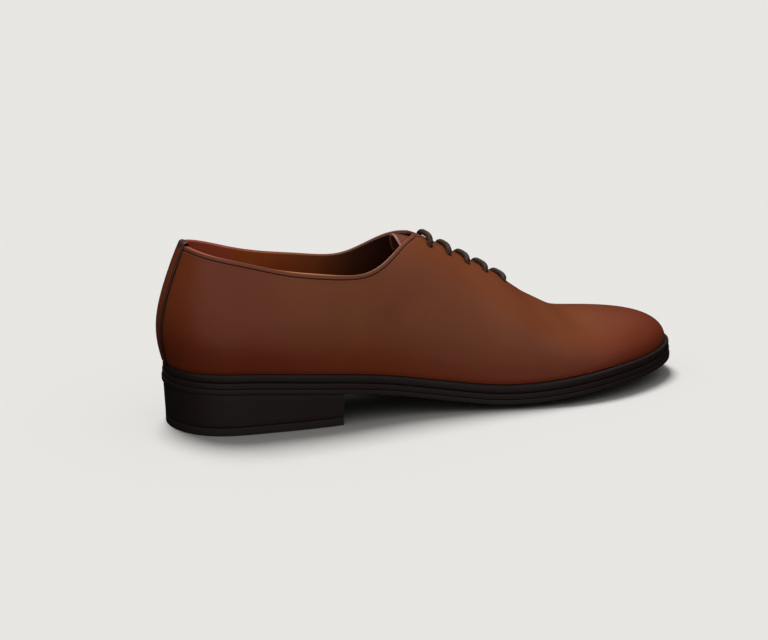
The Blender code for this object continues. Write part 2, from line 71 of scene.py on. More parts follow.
# Driving sizes of the last and the pieces on it, as the solids have them
WALL = 0.0020
INSOLE_CLEARANCE = 0.0010
INSOLE_RISE = 0.0030
INSOLE_LOW, INSOLE_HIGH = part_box("insole")
LAST_LENGTH = INSOLE_HIGH.x - INSOLE_LOW.x + 2 * (WALL + INSOLE_CLEARANCE)
LAST_WIDTH = 0.096
SEAT_HEIGHT = 0.0344
CROWN_HEIGHT = 0.078
TOE_ROUND_FROM = 0.72
TOE_DROP_FROM = 0.80
HEEL_ROUND = 0.0375
HEEL_AXIS_BLEND = 0.010
ROUND_POWER = 2.6
SECTION_ACROSS = 2.08
SECTION_UP = 2.08
RIDGE_LIMIT = 0.45
SWELL_SIZE = 0.0050
SWELL_HEIGHT = 0.024
GAP = 0.0003
FACING_TOP = 0.467
FACING_END = 0.690
CREST_END = 0.895
FACING_TOP_FOOT = 0.430
FACING_END_FOOT = 0.640
SLIT_TOP = 0.0070
SLIT_END = 0.0024
EYELET_COUNT = 5
EYELET_FIRST = 0.494
EYELET_LAST = 0.648
EYELET_SPREAD = 0.0095
EYELET_HOLE = 0.0040
STRIP_THICKNESS = 0.0008
STRIP_TAB = 0.0090
STRIP_START = 0.012
TONGUE_THICKNESS = 0.0016
TONGUE_CLEARANCE = 0.0010
TONGUE_END = 0.735
TONGUE_TOP_WIDTH = 0.034
TONGUE_END_WIDTH = 0.026
WELT_THICKNESS = 0.0045
WELT_INSIDE = 0.0020
MIDSOLE_THICKNESS = 0.0030
OUTSOLE_THICKNESS = 0.0027
MARGIN_TOE = 0.0024
STEP_OUT = 0.0004
SOLE_CROWN = 0.0050
CROWN_FULLNESS = 2.5
TREAD_STARTS = 0.02
TREAD_RAMP = 0.12
TREAD_ENDS_FROM = 0.62
HEEL_LENGTH = 0.0890
HEEL_INSET = 0.0008
HEEL_TAPER = 0.0008
TOP_PIECE_THICKNESS = 0.0045
HEEL_MIDDLE = HEEL_LENGTH / 2 - HEEL_INSET
HEEL_SKEW = -0.0038
FINE = 2000

OUTER, INNER = -1, 1
SIDE_NAME = {OUTER: "outer", INNER: "inner"}

# Calf of the upper: its folded edge, the seam's groove, the throat's end and its foot
CALF = 0.0012             # thickness of the outer leather
LIP_WIDTH = 0.0024        # from the folded edge to the groove of its seam
LIP_CREST = 0.0006        # highest line of the fold, from the edge
LIP_SPREAD = 0.00085
LIP_INSIDE = 0.0004       # the lip's colour ends this far before the groove
LIP_FADE = 0.0003
GROOVE_WIDTH = 0.00025
SEAM_SPREAD = 1.3         # width of the dark line over the groove's
PUCKER = 0.00008          # slight rise of the leather beside the groove
PUCKER_AT = 0.0009        # from the groove
PUCKER_WIDTH = 0.0006
DIMPLE_WIDTH = 0.0026
FOOT_TUCK_HEIGHT = 0.0011
SLIT_ROUND = 0.0062       # length of the throat's round end, as a share of the last
EDGE_ANGLE = 42           # degrees past which an edge of the leather stays sharp

# Darkening of the calf, burnishing and painted shade at the heel and the toe, painted shade low along
# the welt: full up to a start, the width over which it fades, its strength
HEEL_BURNISH_AND_SHADE = (0.10, 0.10, 0.55)     # as shares of the length
TOE_BURNISH_AND_SHADE = (0.99, 0.13, 0.80)      # as shares of the length
FOOT_SHADE = (0.004, 0.013, 0.75)   # in metres above the welt

# Lining: its edge, the heel grip, and the roll along the low part of the outer collar
LINING_GAP = 0.00005      # between the lining and the calf
LINING_REACH = 0.00035    # how far its edge reaches past the middle of the calf
HEEL_GRIP_END = 0.0010    # front edge of the heel grip inside, along X
HEEL_GRIP_STEP = 0.0007   # length of the step at that edge
HEEL_GRIP = 0.00035       # how far the heel grip stands off the lining
ROLL_DEPTH = 0.0017
ROLL_AT = 0.030           # middle of the roll, along X
ROLL_LENGTH = 0.019
ROLL_HEIGHT = 0.0045
RIM_HEIGHT = 0.0012       # height of the painted highlight on the rim of the lining
LINING_SHADE_FROM = 0.012         # painted shade on the lining deepens from here towards the front, along X
LINING_SHADE_OVER = 0.060

# Leaves: the strip's leather spreads past its solid and the tongue's top edge is trimmed
STRIP_TOP_WIDTH = 0.0134
STRIP_END_WIDTH = 0.0076
STRIP_NARROWING = 0.8     # power by which it narrows downwards
TONGUE_TOP = 0.433        # as a share of the last
TONGUE_ROUND = 0.014      # how far the tongue's top corners fall back, as a share
SOCK_REACH = 0.0007       # the sock comes nearer to the lining than the insole
SOCK_EDGE = ((0.0007, 0), (0.0002, 0.04), (0, 0.12), (0, 1))  # set back, part of its height

# Lace
LACE_PITCH = 0.0026       # length of one turn of the braid's strands
LACE_RELIEF = 0.05        # swell of a strand on top, as a share of the radius
LACE_RINGS = 950
LACE_SIDES = 24
LACE_FLAT = 0.0004        # half thickness where the lace lies hidden and pressed flat
LACE_SPREAD = 0.30        # and how much wider it is there, as a share
LACE_ENDS = (0.004, 0.006)  # hidden ends past the top holes, as shares of the last
RUN_SHIFT = 0.24          # hidden runs of the lace lie side by side

# Edges of the welt, the sole and the heel
WELT_ROUND = 0.0006       # how far the middle of the bead stands out past its rims
EASE_PARTS = np.array([0, 0.1, 0.3, 0.6, 1.0])  # steps of an eased edge
LINE_WIDTH = 0.008        # of a line between two lifts, as a part of the heel's height
LINE_PARTS = np.array([-2.5, -1.0, 0.0, 1.0, 2.5]) * LINE_WIDTH
LIFT_LINES = (0.27, 0.52, 0.76)  # their places down the heel, as parts of its height
MIDSOLE_EASE = 0.0002
OUTSOLE_EASE = 0.0003
HEEL_EASE = 0.0005
RUBBER_EASE = 0.0003
SOLE_ANGLE = 50           # degrees past which an edge of the sole stays sharp

# Rows of the upper's sections, measured from the edge of the leather
NEAR_ROWS = np.array([0, 0.2, 0.4, 0.6, 0.85, 1.1, 1.35, 1.5, 1.65, 1.8, 1.95, 2.1, 2.3, 2.6, 3.0,
                      3.5, 4.1, 4.8, 5.6, 6.3, 7.0, 7.7, 8.4, 9.1, 10.0, 11.0, 12.0]) / 1000
GROOVE_ROWS = slice(6, 9)  # those of them beside the groove
LINING_ROWS = np.array([0, 0.3, 0.8, 1.5, 2.5, 4.0, 6.0, 8.5, 11.5]) / 1000
RIM_STEPS = 8             # steps of the half round rim of a wall

# Soft creases placed in the last's frame: start, end, width, depth
CREASES = [
    ((0.196, -0.020, 0.047), (0.210, -0.046, 0.030), 0.0050, -0.00030),
    ((0.205, -0.008, 0.048), (0.222, -0.044, 0.027), 0.0055, -0.00028),
    ((0.196, 0.030, 0.046), (0.212, 0.048, 0.030), 0.0050, -0.00028),
    ((0.118, -0.034, 0.052), (0.140, -0.030, 0.070), 0.0080, -0.00040),
    ((0.050, -0.030, 0.052), (0.078, -0.034, 0.044), 0.0090, -0.00040),
]

# Grain of the finishes: size of the blots, in metres. Pores and strands are finer on the
# real leather and lace, and are drawn as coarse as they need to show
POLISH_CLOUD = 0.030
POLISH_PATCH = 0.012
CALF_PORE = 0.0006
CALF_GRAIN = 0.0035
STRIP_CLOUD = 0.020
STRIP_PORE = 0.0006
TONGUE_PORE = 0.0008
LINING_CLOUD = 0.015
LINING_PORE = 0.0009
SOCK_PORE = 0.0010
COTTON_FIBRE = 0.0003
WAX_PATCH = 0.006
WAX_RIPPLE = 0.0020
SOLE_GRAIN = 0.0010
RUBBER_GRAIN = 0.0012
FINE_RELIEF = 0.00003     # depth of the relief on the smoother finishes
COARSE_RELIEF = 0.00004   # and on the rougher ones

# Sky of the studio along an axis: from here, to there, brightness here and there
SKY_RISE = (0.10, 0.95, 0.015, 0.36)
SKY_DEPTH = (-1.0, 1.0, 1.15, 0.80)
SKY_SIDE = (-1.0, 1.0, 0.85, 1.10)
SKY_COLOUR = (1.0, 0.99, 0.97, 1.0)
FLOOR_REACH = 40.0

# Lamps: name, strength, angle in degrees, direction of the light, whether it lights
# the shoe alone and leaves the floor to the overhead light
LAMPS = [
    ("softbox overhead", 2.33, 24, (0.03, -0.38, -1.0), False),
    ("fill beside the camera", 2.04, 116, (0.18, 0.91, -0.64), True),
]

# Camera of the photograph, fitted to its traced edges
CAMERA_PLACE = (-0.2854, -0.9555, 0.3312)
CAMERA_YAW = 21.0
CAMERA_DOWN = 15.5
FOCAL_PIXELS = 1895.0
IMAGE_WIDTH = 768
SENSOR = 36.0


def linear(hex_colour):
    """A colour written as sRGB hex, turned into linear red, green, blue and 1."""
    parts = [int(hex_colour[k:k + 2], 16) / 255 for k in (1, 3, 5)]
    return (*[p / 12.92 if p <= 0.04045 else ((p + 0.055) / 1.055)**2.4 for p in parts], 1.0)


class Table:
    """Rows with named columns, read between the rows with a natural cubic curve."""

    def __init__(self, names, rows):
        self.names = names.split()
        self.rows = np.array(rows, float)
        self.share = self.rows[:, 0]
        self.bend = {name: self.second(self.rows[:, k]) for k, name in enumerate(self.names)}

    def second(self, values):
        """Second derivatives of the natural cubic curve through the rows."""
        step = np.diff(self.share)
        slope = np.diff(values) / step
        count = len(values)
        matrix = np.eye(count)
        right = np.zeros(count)
        for k in range(1, count - 1):
            matrix[k, k - 1:k + 2] = step[k - 1], 2 * (step[k - 1] + step[k]), step[k]
            right[k] = 6 * (slope[k] - slope[k - 1])
        return np.linalg.solve(matrix, right)

    def at(self, name, share):
        """Value of a column at a share of the length, which may be an array."""
        column = self.rows[:, self.names.index(name)]
        bend = self.bend[name]
        share = np.clip(share, self.share[0], self.share[-1])
        k = np.clip(np.searchsorted(self.share, share) - 1, 0, len(column) - 2)
        step = self.share[k + 1] - self.share[k]
        a = (self.share[k + 1] - share) / step
        b = 1 - a
        curve = ((a**3 - a) * bend[k] + (b**3 - b) * bend[k + 1]) * step**2 / 6
        return a * column[k] + b * column[k + 1] + curve


# Feather line from above: its middle and half width, as shares of the last's width
PLAN = Table("share middle half", [
    (0.000, 0.000, 0.328),
    (0.100, -0.027, 0.328),
    (0.200, -0.052, 0.326),
    (0.300, -0.062, 0.311),
    (0.400, -0.056, 0.296),
    (0.500, -0.036, 0.334),
    (0.600, -0.010, 0.415),
    (0.687, 0.014, 0.480),
    (0.760, 0.031, 0.499),
    (0.830, 0.038, 0.487),
    (0.900, 0.036, 0.455),
    (0.960, 0.031, 0.425),
    (1.000, 0.026, 0.410),
])

# Feather line from the side as shares of the seat height, the crown above it as
# shares of the crown height, and the ridge's shift to the inner side
PROFILE = Table("share feather crown ridge", [
    (0.000, 1.005, 1.150, 0.000),
    (0.100, 0.998, 1.085, 0.004),
    (0.200, 0.925, 1.020, 0.014),
    (0.300, 0.828, 0.995, 0.028),
    (0.400, 0.686, 0.985, 0.040),
    (0.467, 0.570, 0.982, 0.045),
    (0.510, 0.503, 0.932, 0.045),
    (0.580, 0.416, 0.812, 0.043),
    (0.646, 0.398, 0.668, 0.040),
    (0.686, 0.412, 0.550, 0.037),
    (0.736, 0.442, 0.425, 0.032),
    (0.780, 0.473, 0.328, 0.028),
    (0.834, 0.509, 0.280, 0.022),
    (0.900, 0.535, 0.272, 0.014),
    (0.950, 0.560, 0.278, 0.008),
    (1.000, 0.600, 0.290, 0.000),
])

# Topline as shares of the crown at the same place
COLLAR = Table("share outer inner", [
    (0.000, 0.729, 0.729),
    (0.050, 0.716, 0.720),
    (0.100, 0.708, 0.708),
    (0.150, 0.700, 0.700),
    (0.200, 0.690, 0.703),
    (0.270, 0.684, 0.710),
    (0.315, 0.690, 0.716),
    (0.355, 0.722, 0.755),
    (0.390, 0.795, 0.835),
    (0.435, 0.925, 0.945),
    (0.467, 0.994, 0.994),
])

# Outward swell low on each side, as shares of the largest swell
SWELL = Table("share outer inner", [
    (0.00, 0.78, 0.78),
    (0.15, 0.70, 0.75),
    (0.30, 0.50, 0.80),
    (0.45, 0.35, 0.90),
    (0.60, 0.20, 0.40),
    (0.75, 0.05, 0.10),
    (0.85, 0.00, 0.00),
    (1.00, 0.00, 0.00),
])

# Reach of the welt's edge outside the feather line, as shares of the toe's margin
MARGIN = Table("share reach", [
    (0.00, 0.30),
    (0.20, 0.40),
    (0.30, 0.75),
    (0.45, 1.00),
    (0.62, 1.30),
    (0.80, 1.25),
    (0.92, 1.05),
    (1.00, 1.00),
])


def closing(share, start, end, power):
    """Factor that rounds an end off: 1 before start, falling to 0 at end."""
    reach = np.clip((share - start) / (end - start), 0, 1)
    return np.sqrt(1 - reach**power)


def half_width(share):
    """Half width of the feather line."""
    toe = closing(share, TOE_ROUND_FROM, 1, ROUND_POWER)
    heel = closing(-share, -HEEL_ROUND / LAST_LENGTH, 0, ROUND_POWER)
    return PLAN.at("half", share) * LAST_WIDTH * toe * heel


def middle(share):
    """Place of the feather line's middle, across the last."""
    return PLAN.at("middle", share) * LAST_WIDTH


def ridge(share):
    """Shift of the top of a section to the inner side."""
    return PROFILE.at("ridge", share) * LAST_WIDTH


def feather_height(share):
    """Height of the feather line above the floor."""
    return PROFILE.at("feather", share) * SEAT_HEIGHT


def crown(share):
    """Height of the closed last above its feather line."""
    drop = closing(share, TOE_DROP_FROM, 1, ROUND_POWER)
    return PROFILE.at("crown", share) * CROWN_HEIGHT * drop


def feather(side, share):
    """Points of the feather line, from above."""
    return np.stack([share * LAST_LENGTH, middle(share) + side * half_width(share)], -1)


def axis(share):
    """Point on the middle line from which a section fans out, from above."""
    x = share * LAST_LENGTH
    soft = HEEL_AXIS_BLEND
    x = HEEL_ROUND + soft * np.logaddexp(0, (x - HEEL_ROUND) / soft)
    return np.stack([x, middle(share)], -1)


def swelling(side, share, height):
    """Outward swell of the side at a height above the feather line."""
    ratio = height / SWELL_HEIGHT
    size = SWELL_SIZE * SWELL.at(SIDE_NAME[side], share)
    return size * ratio * np.exp((1 - ratio**2) / 2)


def skin(side, share, turn):
    """Outer surface of the last: turn runs from 0 at the feather line to a
    quarter turn at the crown. A section is a quarter of a superellipse, shifted
    to the inner side along the ridge and swollen low on the side."""
    across = np.maximum(np.cos(turn), 0)**(2 / SECTION_ACROSS)
    height = crown(share) * np.sin(turn)**(2 / SECTION_UP)
    centre = axis(share)
    arm = feather(side, share) - centre
    plan = centre + arm * across[..., None]
    plan[..., 1] += ridge(share) * (1 - across**2)
    length = np.maximum(np.linalg.norm(arm, axis=-1), 1e-9)
    plan += arm * (swelling(side, share, height) * np.sqrt(across) / length)[..., None]
    return np.concatenate([plan, (feather_height(share) + height)[..., None]], -1)


def roof(side, plan):
    """Outer surface over the vamp and toe, as a height over a point from above, with
    the same swell as the sides."""
    share = np.clip(plan[..., 0] / LAST_LENGTH, 0, 1)
    half = np.maximum(half_width(share), 1e-9)
    shift = np.minimum(ridge(share), half * RIDGE_LIMIT)
    away = plan[..., 1] - middle(share) - shift
    root = np.sqrt(np.maximum(half**2 - 4 * shift * away, 0))
    across = np.clip(np.abs(2 * away / (half + root)), 0, 1)
    height = crown(share) * (1 - across**SECTION_ACROSS)**(1 / SECTION_UP)
    swell = side * swelling(side, share, height) * np.sqrt(across)
    return np.stack([plan[..., 0], plan[..., 1] + swell, feather_height(share) + height], -1)


def crest_spot(share, away):
    """Point of the closed last at a distance to the inner side of its ridge."""
    across = np.clip(np.abs(away) / half_width(share), 0, 1)
    height = crown(share) * (1 - across**SECTION_ACROSS)**(1 / SECTION_UP)
    y = middle(share) + ridge(share) * (1 - across**2) + away
    return np.stack([share * LAST_LENGTH, y, feather_height(share) + height], -1)


def crest_frame(share, away, step=1e-4):
    """Point of the closed last near its ridge, with the outward direction there."""
    along = crest_spot(share + step, away) - crest_spot(share - step, away)
    over = crest_spot(share, away + step) - crest_spot(share, away - step)
    normal = np.cross(along, over)
    return crest_spot(share, away), unit(normal)


def unit(vectors):
    """Vectors brought to length one."""
    return vectors / np.maximum(np.linalg.norm(vectors, axis=-1), 1e-12)[..., None]


def walk():
    """Shares of the length from heel to toe, and the way there along the feather line."""
    shares = (1 - np.cos(np.linspace(0, math.pi, FINE + 1))) / 2
    steps = np.linalg.norm(np.diff(feather(OUTER, shares), axis=0), axis=1)
    return shares, np.concatenate([[0], np.cumsum(steps)])


def spaced(start, end, part):
    """Shares of the length at parts of the way from start to end along the feather line."""
    shares, walked = walk()
    ends = np.interp([start, end], shares, walked)
    return np.interp(ends[0] + (ends[1] - ends[0]) * part, walked, shares)


def evenly(start, end, count):
    """Shares of the length that lie evenly along the feather line."""
    return spaced(start, end, np.linspace(0, 1, count + 1))


def share_after(distance):
    """Share of the length at a distance along the feather line from the back."""
    shares, walked = walk()
    return np.interp(distance, walked, shares)


def place(points):
    """Moves points from the last's own frame to the part's frame."""
    return np.asarray(points) - np.array([HEEL_MIDDLE, HEEL_SKEW, 0])


def grid_faces(rows, columns, wrap=False):
    """Quads of a grid of rows by columns points, wrapped along its columns if asked."""
    index = np.arange(rows * columns).reshape(rows, columns)
    if wrap:
        index = np.concatenate([index, index[:, :1]], 1)
    return quads_of(index)


def quads_of(index):
    """Quads between neighbours of a two-dimensional array of point numbers."""
    low, high = index[:-1], index[1:]
    return np.stack([low[:, :-1], low[:, 1:], high[:, 1:], high[:, :-1]], -1).reshape(-1, 4)


def closed_surface(name, points, quads, caps=(), attributes=None, uv=None):
    """Object of one closed surface: points in the last's frame, quads, and end caps as
    lists of point numbers. Attributes hold one number a point, uv two numbers a point.
    Faces turn outwards."""
    points = place(np.asarray(points).reshape(-1, 3))
    mesh = bpy.data.meshes.new(name)
    quads = np.asarray(quads, np.int64)
    quads = quads[~squashed(quads, points)]
    corners = np.concatenate([quads.ravel()] + [np.asarray(cap) for cap in caps])
    sizes = np.concatenate([np.full(len(quads), 4), [len(cap) for cap in caps]]).astype(np.int64)
    starts = np.concatenate([[0], np.cumsum(sizes)[:-1]])
    mesh.vertices.add(len(points))
    mesh.vertices.foreach_set("co", points.astype(np.float32).ravel())
    mesh.loops.add(len(corners))
    mesh.loops.foreach_set("vertex_index", corners.astype(np.int32))
    mesh.polygons.add(len(sizes))
    mesh.polygons.foreach_set("loop_start", starts.astype(np.int32))
    for label, values in (attributes or {}).items():
        layer = mesh.attributes.new(label, "FLOAT", "POINT")
        layer.data.foreach_set("value", np.asarray(values, np.float32).ravel())
    if uv is not None:
        layer = mesh.uv_layers.new(name="UVMap")
        spread = np.asarray(uv, np.float32).reshape(-1, 2)[corners]
        layer.data.foreach_set("uv", spread.ravel())
    mesh.update(calc_edges=True)
    mesh.validate()
    tidy_mesh(mesh)
    mesh.shade_smooth()
    thing = bpy.data.objects.new(name, mesh)
    bpy.context.scene.collection.objects.link(thing)
    return thing


def new_piece(name, points, quads, slot, replaces=(), **shape):
    """Closed surface that rides on the body, hiding the nodes it replaces. The slot is not used."""
    thing = closed_surface(name, points, quads, **shape)
    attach(thing, BODY)
    if replaces:
        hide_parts(*replaces)
    return thing


def squashed(quads, points):
    """Tells which quads have shrunk to nothing."""
    a, b, c, d = (points[quads[:, k]] for k in range(4))
    return np.linalg.norm(np.cross(c - a, d - b), axis=1) < 1e-14


def tidy_mesh(mesh):
    """Joins coinciding points and turns the faces of a closed surface outwards."""
    body = bmesh.new()
    body.from_mesh(mesh)
    bmesh.ops.remove_doubles(body, verts=body.verts, dist=2e-6)
    bmesh.ops.dissolve_degenerate(body, edges=body.edges, dist=1e-6)
    bmesh.ops.recalc_face_normals(body, faces=body.faces)
    body.to_mesh(mesh)
    body.free()


def slit_half(share):
    """Half of the throat's opening at a share of the length."""
    part = (share - FACING_TOP) / (FACING_END - FACING_TOP)
    return (SLIT_TOP + (SLIT_END - SLIT_TOP) * part) / 2


def slit_edge(share):
    """Half of the throat's opening at the middle of its rounded edge: it closes in a
    half circle at the lower end."""
    reach = np.clip((share - (FACING_END - SLIT_ROUND)) / SLIT_ROUND, 0, 1)
    return (slit_half(share) + CALF / 2) * np.sqrt(1 - reach**2)


def bow(side, part):
    """How far, from above, the section at the throat's end lies from a straight line.
    The vamp's sections take up this bow and lose it towards the toe."""
    share = FACING_END_FOOT + (FACING_END - FACING_END_FOOT) * part
    across = np.maximum(np.cos(part * math.pi / 2), 0)**(2 / SECTION_ACROSS)
    y = middle(share) + side * half_width(share) * across + ridge(share) * (1 - across**2)
    line = np.stack([share * LAST_LENGTH, y], -1)
    start = feather(side, FACING_END_FOOT)
    end = np.array([FACING_END * LAST_LENGTH, middle(FACING_END) + ridge(FACING_END)])
    return line - start - (end - start) * (1 - np.cos(part * math.pi / 2))[..., None]


class Shell:
    """Outer surface of the upper as one horseshoe of sections, from the toe along the
    outer side, round the heel and back to the toe. Each section runs from its top
    (topline, edge of the throat or crest of the vamp) down to the feather line."""

    def __init__(self, collar, facing, vamp, near, far, inset):
        self.vamp = vamp
        sides = [self.side(side, collar, facing, vamp, near, far, inset) for side in (OUTER, INNER)]
        self.grid = np.concatenate([sides[0][::-1], sides[1][1:]])
        self.count, self.rows = self.grid.shape[:2]
        self.normal = self.normals()
        self.edge_line()

    def side(self, side, collar, facing, vamp, near, far, inset):
        """Sections of one side, from the heel to the toe."""
        run = 1 - (1 - np.linspace(0, 1, facing + 1)[1:])**1.5
        foot = evenly(0, FACING_TOP_FOOT, collar)
        top = foot * FACING_TOP / FACING_TOP_FOOT
        turn_end = np.arcsin(np.clip(COLLAR.at(SIDE_NAME[side], top), 0, 1)**(SECTION_UP / 2))
        foot = np.concatenate([foot, spaced(FACING_TOP_FOOT, FACING_END_FOOT, run)])
        throat = FACING_TOP + (FACING_END - FACING_TOP) * run
        edge = (slit_edge(throat) / half_width(throat))**(SECTION_ACROSS / 2)
        top = np.concatenate([top, throat])
        turn_end = np.concatenate([turn_end, np.arccos(edge)])
        ahead = np.linspace(0, 1, vamp + 1)[1:]**1.5
        crest = FACING_END + (CREST_END - FACING_END) * ahead
        start = feather(side, spaced(FACING_END_FOOT, 1, ahead))
        end = np.stack([crest * LAST_LENGTH, middle(crest) + ridge(crest)], -1)
        fading = ((1 - ahead)**2)[:, None, None]

        def surface(part):
            """Points at parts of the way up, one row of parts for each section."""
            low, high = part[:len(foot)], part[len(foot):]
            share = foot[:, None] + (top - foot)[:, None] * low
            walls = skin(side, share, turn_end[:, None] * low)
            blend = (1 - np.cos(high * math.pi / 2))[..., None]
            plan = start[:, None] + (end - start)[:, None] * blend + bow(side, high) * fading
            return np.concatenate([walls, roof(side, plan)])

        fine = np.linspace(0, 1, 241)
        stations = len(foot) + vamp
        curve = surface(np.tile(fine, (stations, 1)))
        steps = np.linalg.norm(np.diff(curve, axis=1), axis=2)
        walked = np.concatenate([np.zeros((stations, 1)), np.cumsum(steps, axis=1)], 1)
        rise = unit(curve[:, -1] - curve[:, -4])
        line = unit(np.gradient(curve[:, -1], axis=0))
        slant = np.clip(np.linalg.norm(np.cross(rise, line), axis=1), 0.55, 1)
        slant[len(foot):] = 1
        slant = np.convolve(np.pad(slant, 4, "edge"), np.ones(9) / 9, "valid")
        offset = np.where(np.arange(stations) <= collar, inset, inset - CALF / 2)
        close = offset[:, None] + np.asarray(near)[None] / slant[:, None]
        rest = 1 - (1 - np.linspace(0, 1, far + 1)[1:])**1.5
        low = close[:, -1:] + (walked[:, -1:] - close[:, -1:]) * rest[None]
        wanted = walked[:, -1:] - np.concatenate([close, low], 1)
        part = np.stack([np.interp(w, k, fine) for w, k in zip(wanted, walked)])
        return surface(part)

    def normals(self):
        """Outward directions, from the faces round each point. The crest of the vamp
        and the tip of the toe belong to both sides."""
        last = self.count - 1
        index = np.arange(self.count * self.rows).reshape(self.count, self.rows)
        index[last] = index[0]
        for station in range(self.vamp + 1):
            index[last - station, 0] = index[station, 0]
        grid = self.grid
        face = np.cross(grid[1:, 1:] - grid[:-1, :-1], grid[1:, :-1] - grid[:-1, 1:]).reshape(-1, 3)
        total = np.zeros((self.count * self.rows, 3))
        for rows in (slice(0, -1), slice(1, None)):
            for columns in (slice(0, -1), slice(1, None)):
                np.add.at(total, index[rows, columns].ravel(), face)
        normal = unit(total[index])
        away = grid - grid.mean(axis=(0, 1)) * np.array([0, 1, 1]) - grid * np.array([1, 0, 0])
        return normal * np.sign(np.sum(normal * away))

    def edge_line(self):
        """Loop of the topline and the throat's edge, with the direction off the leather."""
        self.edged = slice(self.vamp, self.count - self.vamp)
        edge = self.grid[self.edged, 0]
        loop = edge[:-1]
        along = np.roll(loop, -1, axis=0) - np.roll(loop, 1, axis=0)
        along = unit(np.concatenate([along, along[:1]]))
        out = np.cross(along, self.normal[self.edged, 0])
        inward = self.grid[self.edged, 0] - self.grid[self.edged, 3]
        out *= np.sign(np.sum(out * inward))
        self.edge = edge
        self.out = np.zeros((self.count, 3))
        self.out[self.edged] = unit(out)

    def edge_distance(self, points):
        """Distance of points from the loop of the edge, worked out in sixty lots to
        spare memory: the smallest of a*a + b*b - 2ab over the loop's points."""
        part = np.linspace(0, len(self.edge) - 1, 4 * len(self.edge))
        stops = np.arange(len(self.edge))
        line = np.stack([np.interp(part, stops, self.edge[:, k]) for k in range(3)], -1)
        size = np.sum(line**2, axis=1)
        nearest = []
        for lot in np.array_split(points, 60):
            apart = size + np.sum(lot**2, axis=1)[:, None] - 2 * lot @ line.T
            nearest.append(apart.min(axis=1))
        return np.sqrt(np.maximum(np.concatenate(nearest), 0))


def bump(distance, width):
    """Bell curve: 1 at no distance, fading over the width."""
    return np.exp(-(distance / width)**2)


def past(value, limit, width):
    """Soft step: 1 well below a limit, 0 well past it."""
    return 0.5 - 0.5 * np.tanh((value - limit) / width)


def calf_shell():
    """Face of the calf in fine sections, with close rows at the groove of the seam."""
    return Shell(110, 90, 90, NEAR_ROWS, 30, CALF / 2)


def eyelet_spots():
    """Middle of each hole on the leather's face, with the outward direction."""
    shares = np.repeat(np.linspace(EYELET_FIRST, EYELET_LAST, EYELET_COUNT), 2)
    sides = np.tile([OUTER, INNER], EYELET_COUNT)
    return crest_frame(shares, sides * EYELET_SPREAD)


def relief(shell):
    """Height of the leather's face over the plain last: the folded edge, the groove of
    its seam, the pull of the lace, the tuck at the welt and a few soft creases. Also
    the distance from the edge and from the foot."""
    points = shell.grid.reshape(-1, 3)
    shape = shell.grid.shape[:2]
    away = (shell.edge_distance(points) + CALF / 2).reshape(shape)
    sizes = bpy.context.scene.oxford_sizes
    lift = sizes.lip_rise * bump(away - LIP_CREST, LIP_SPREAD)
    lift = lift - sizes.groove_depth * bump(away - LIP_WIDTH, GROOVE_WIDTH)
    lift = lift + PUCKER * bump(away - LIP_WIDTH - PUCKER_AT, PUCKER_WIDTH)
    for spot in eyelet_spots()[0]:
        gap = np.linalg.norm(shell.grid - spot, axis=2)
        lift = lift - sizes.dimple_depth * bump(gap, DIMPLE_WIDTH)
    foot = np.linalg.norm(shell.grid - shell.grid[:, -1:], axis=2)
    lift = lift - sizes.tuck * bump(foot, FOOT_TUCK_HEIGHT)
    for start, end, width, depth in CREASES:
        lift = lift + depth * trough(shell.grid, np.array(start), np.array(end), width)
    return lift, away, foot


def trough(points, start, end, width):
    """Soft valley along a straight line, fading out towards both of its ends."""
    line = end - start
    part = np.clip(np.sum((points - start) * line, axis=-1) / np.sum(line**2), 0, 1)
    gap = np.linalg.norm(points - (start + part[..., None] * line), axis=-1)
    return bump(gap, width) * np.sin(math.pi * np.clip(part, 0.02, 0.98))


def shell_piece(name, slot, shell, top, under, radius, lift, rows, replaces=(), attributes=None):
    """Closed wall of the upper: a face at a height top + lift over the shell, a half
    round rim along its edge, and an inner face at the depth under."""
    inner = np.asarray(rows)
    turns = np.linspace(0, math.pi, RIM_STEPS + 1)[1:-1]
    outer_points = shell.grid + shell.normal * (top + lift)[..., None]
    inner_points = shell.grid[:, inner] - shell.normal[:, inner] * under[:, inner, None]
    high = outer_points[:, 0]
    low = shell.grid[:, 0] - shell.normal[:, 0] * under[:, :1]
    centre, half = (high + low) / 2, (high - low) / 2
    rim = [centre + half * math.cos(t) + shell.out * radius * math.sin(t) for t in turns]
    points = np.concatenate([outer_points[:, ::-1], np.stack(rim, 1), inner_points], 1)
    index = np.arange(points.shape[0] * points.shape[1]).reshape(points.shape[:2])
    wrapped = np.concatenate([index, index[:, :1]], 1)
    quads = quads_of(wrapped).reshape(points.shape[0] - 1, points.shape[1], 4)
    keep = np.ones(quads.shape[:2], bool)
    bridge = slice(shell.rows - 1, shell.rows + len(turns))
    keep[:shell.vamp, bridge] = False
    keep[-shell.vamp:, bridge] = False
    spread = {}
    for label, values in (attributes or {}).items():
        edge = np.repeat(values[:, :1], len(turns), 1)
        spread[label] = np.concatenate([values[:, ::-1], edge, values[:, inner]], 1)
    return new_piece(name, points, quads[keep], slot, replaces, attributes=spread)


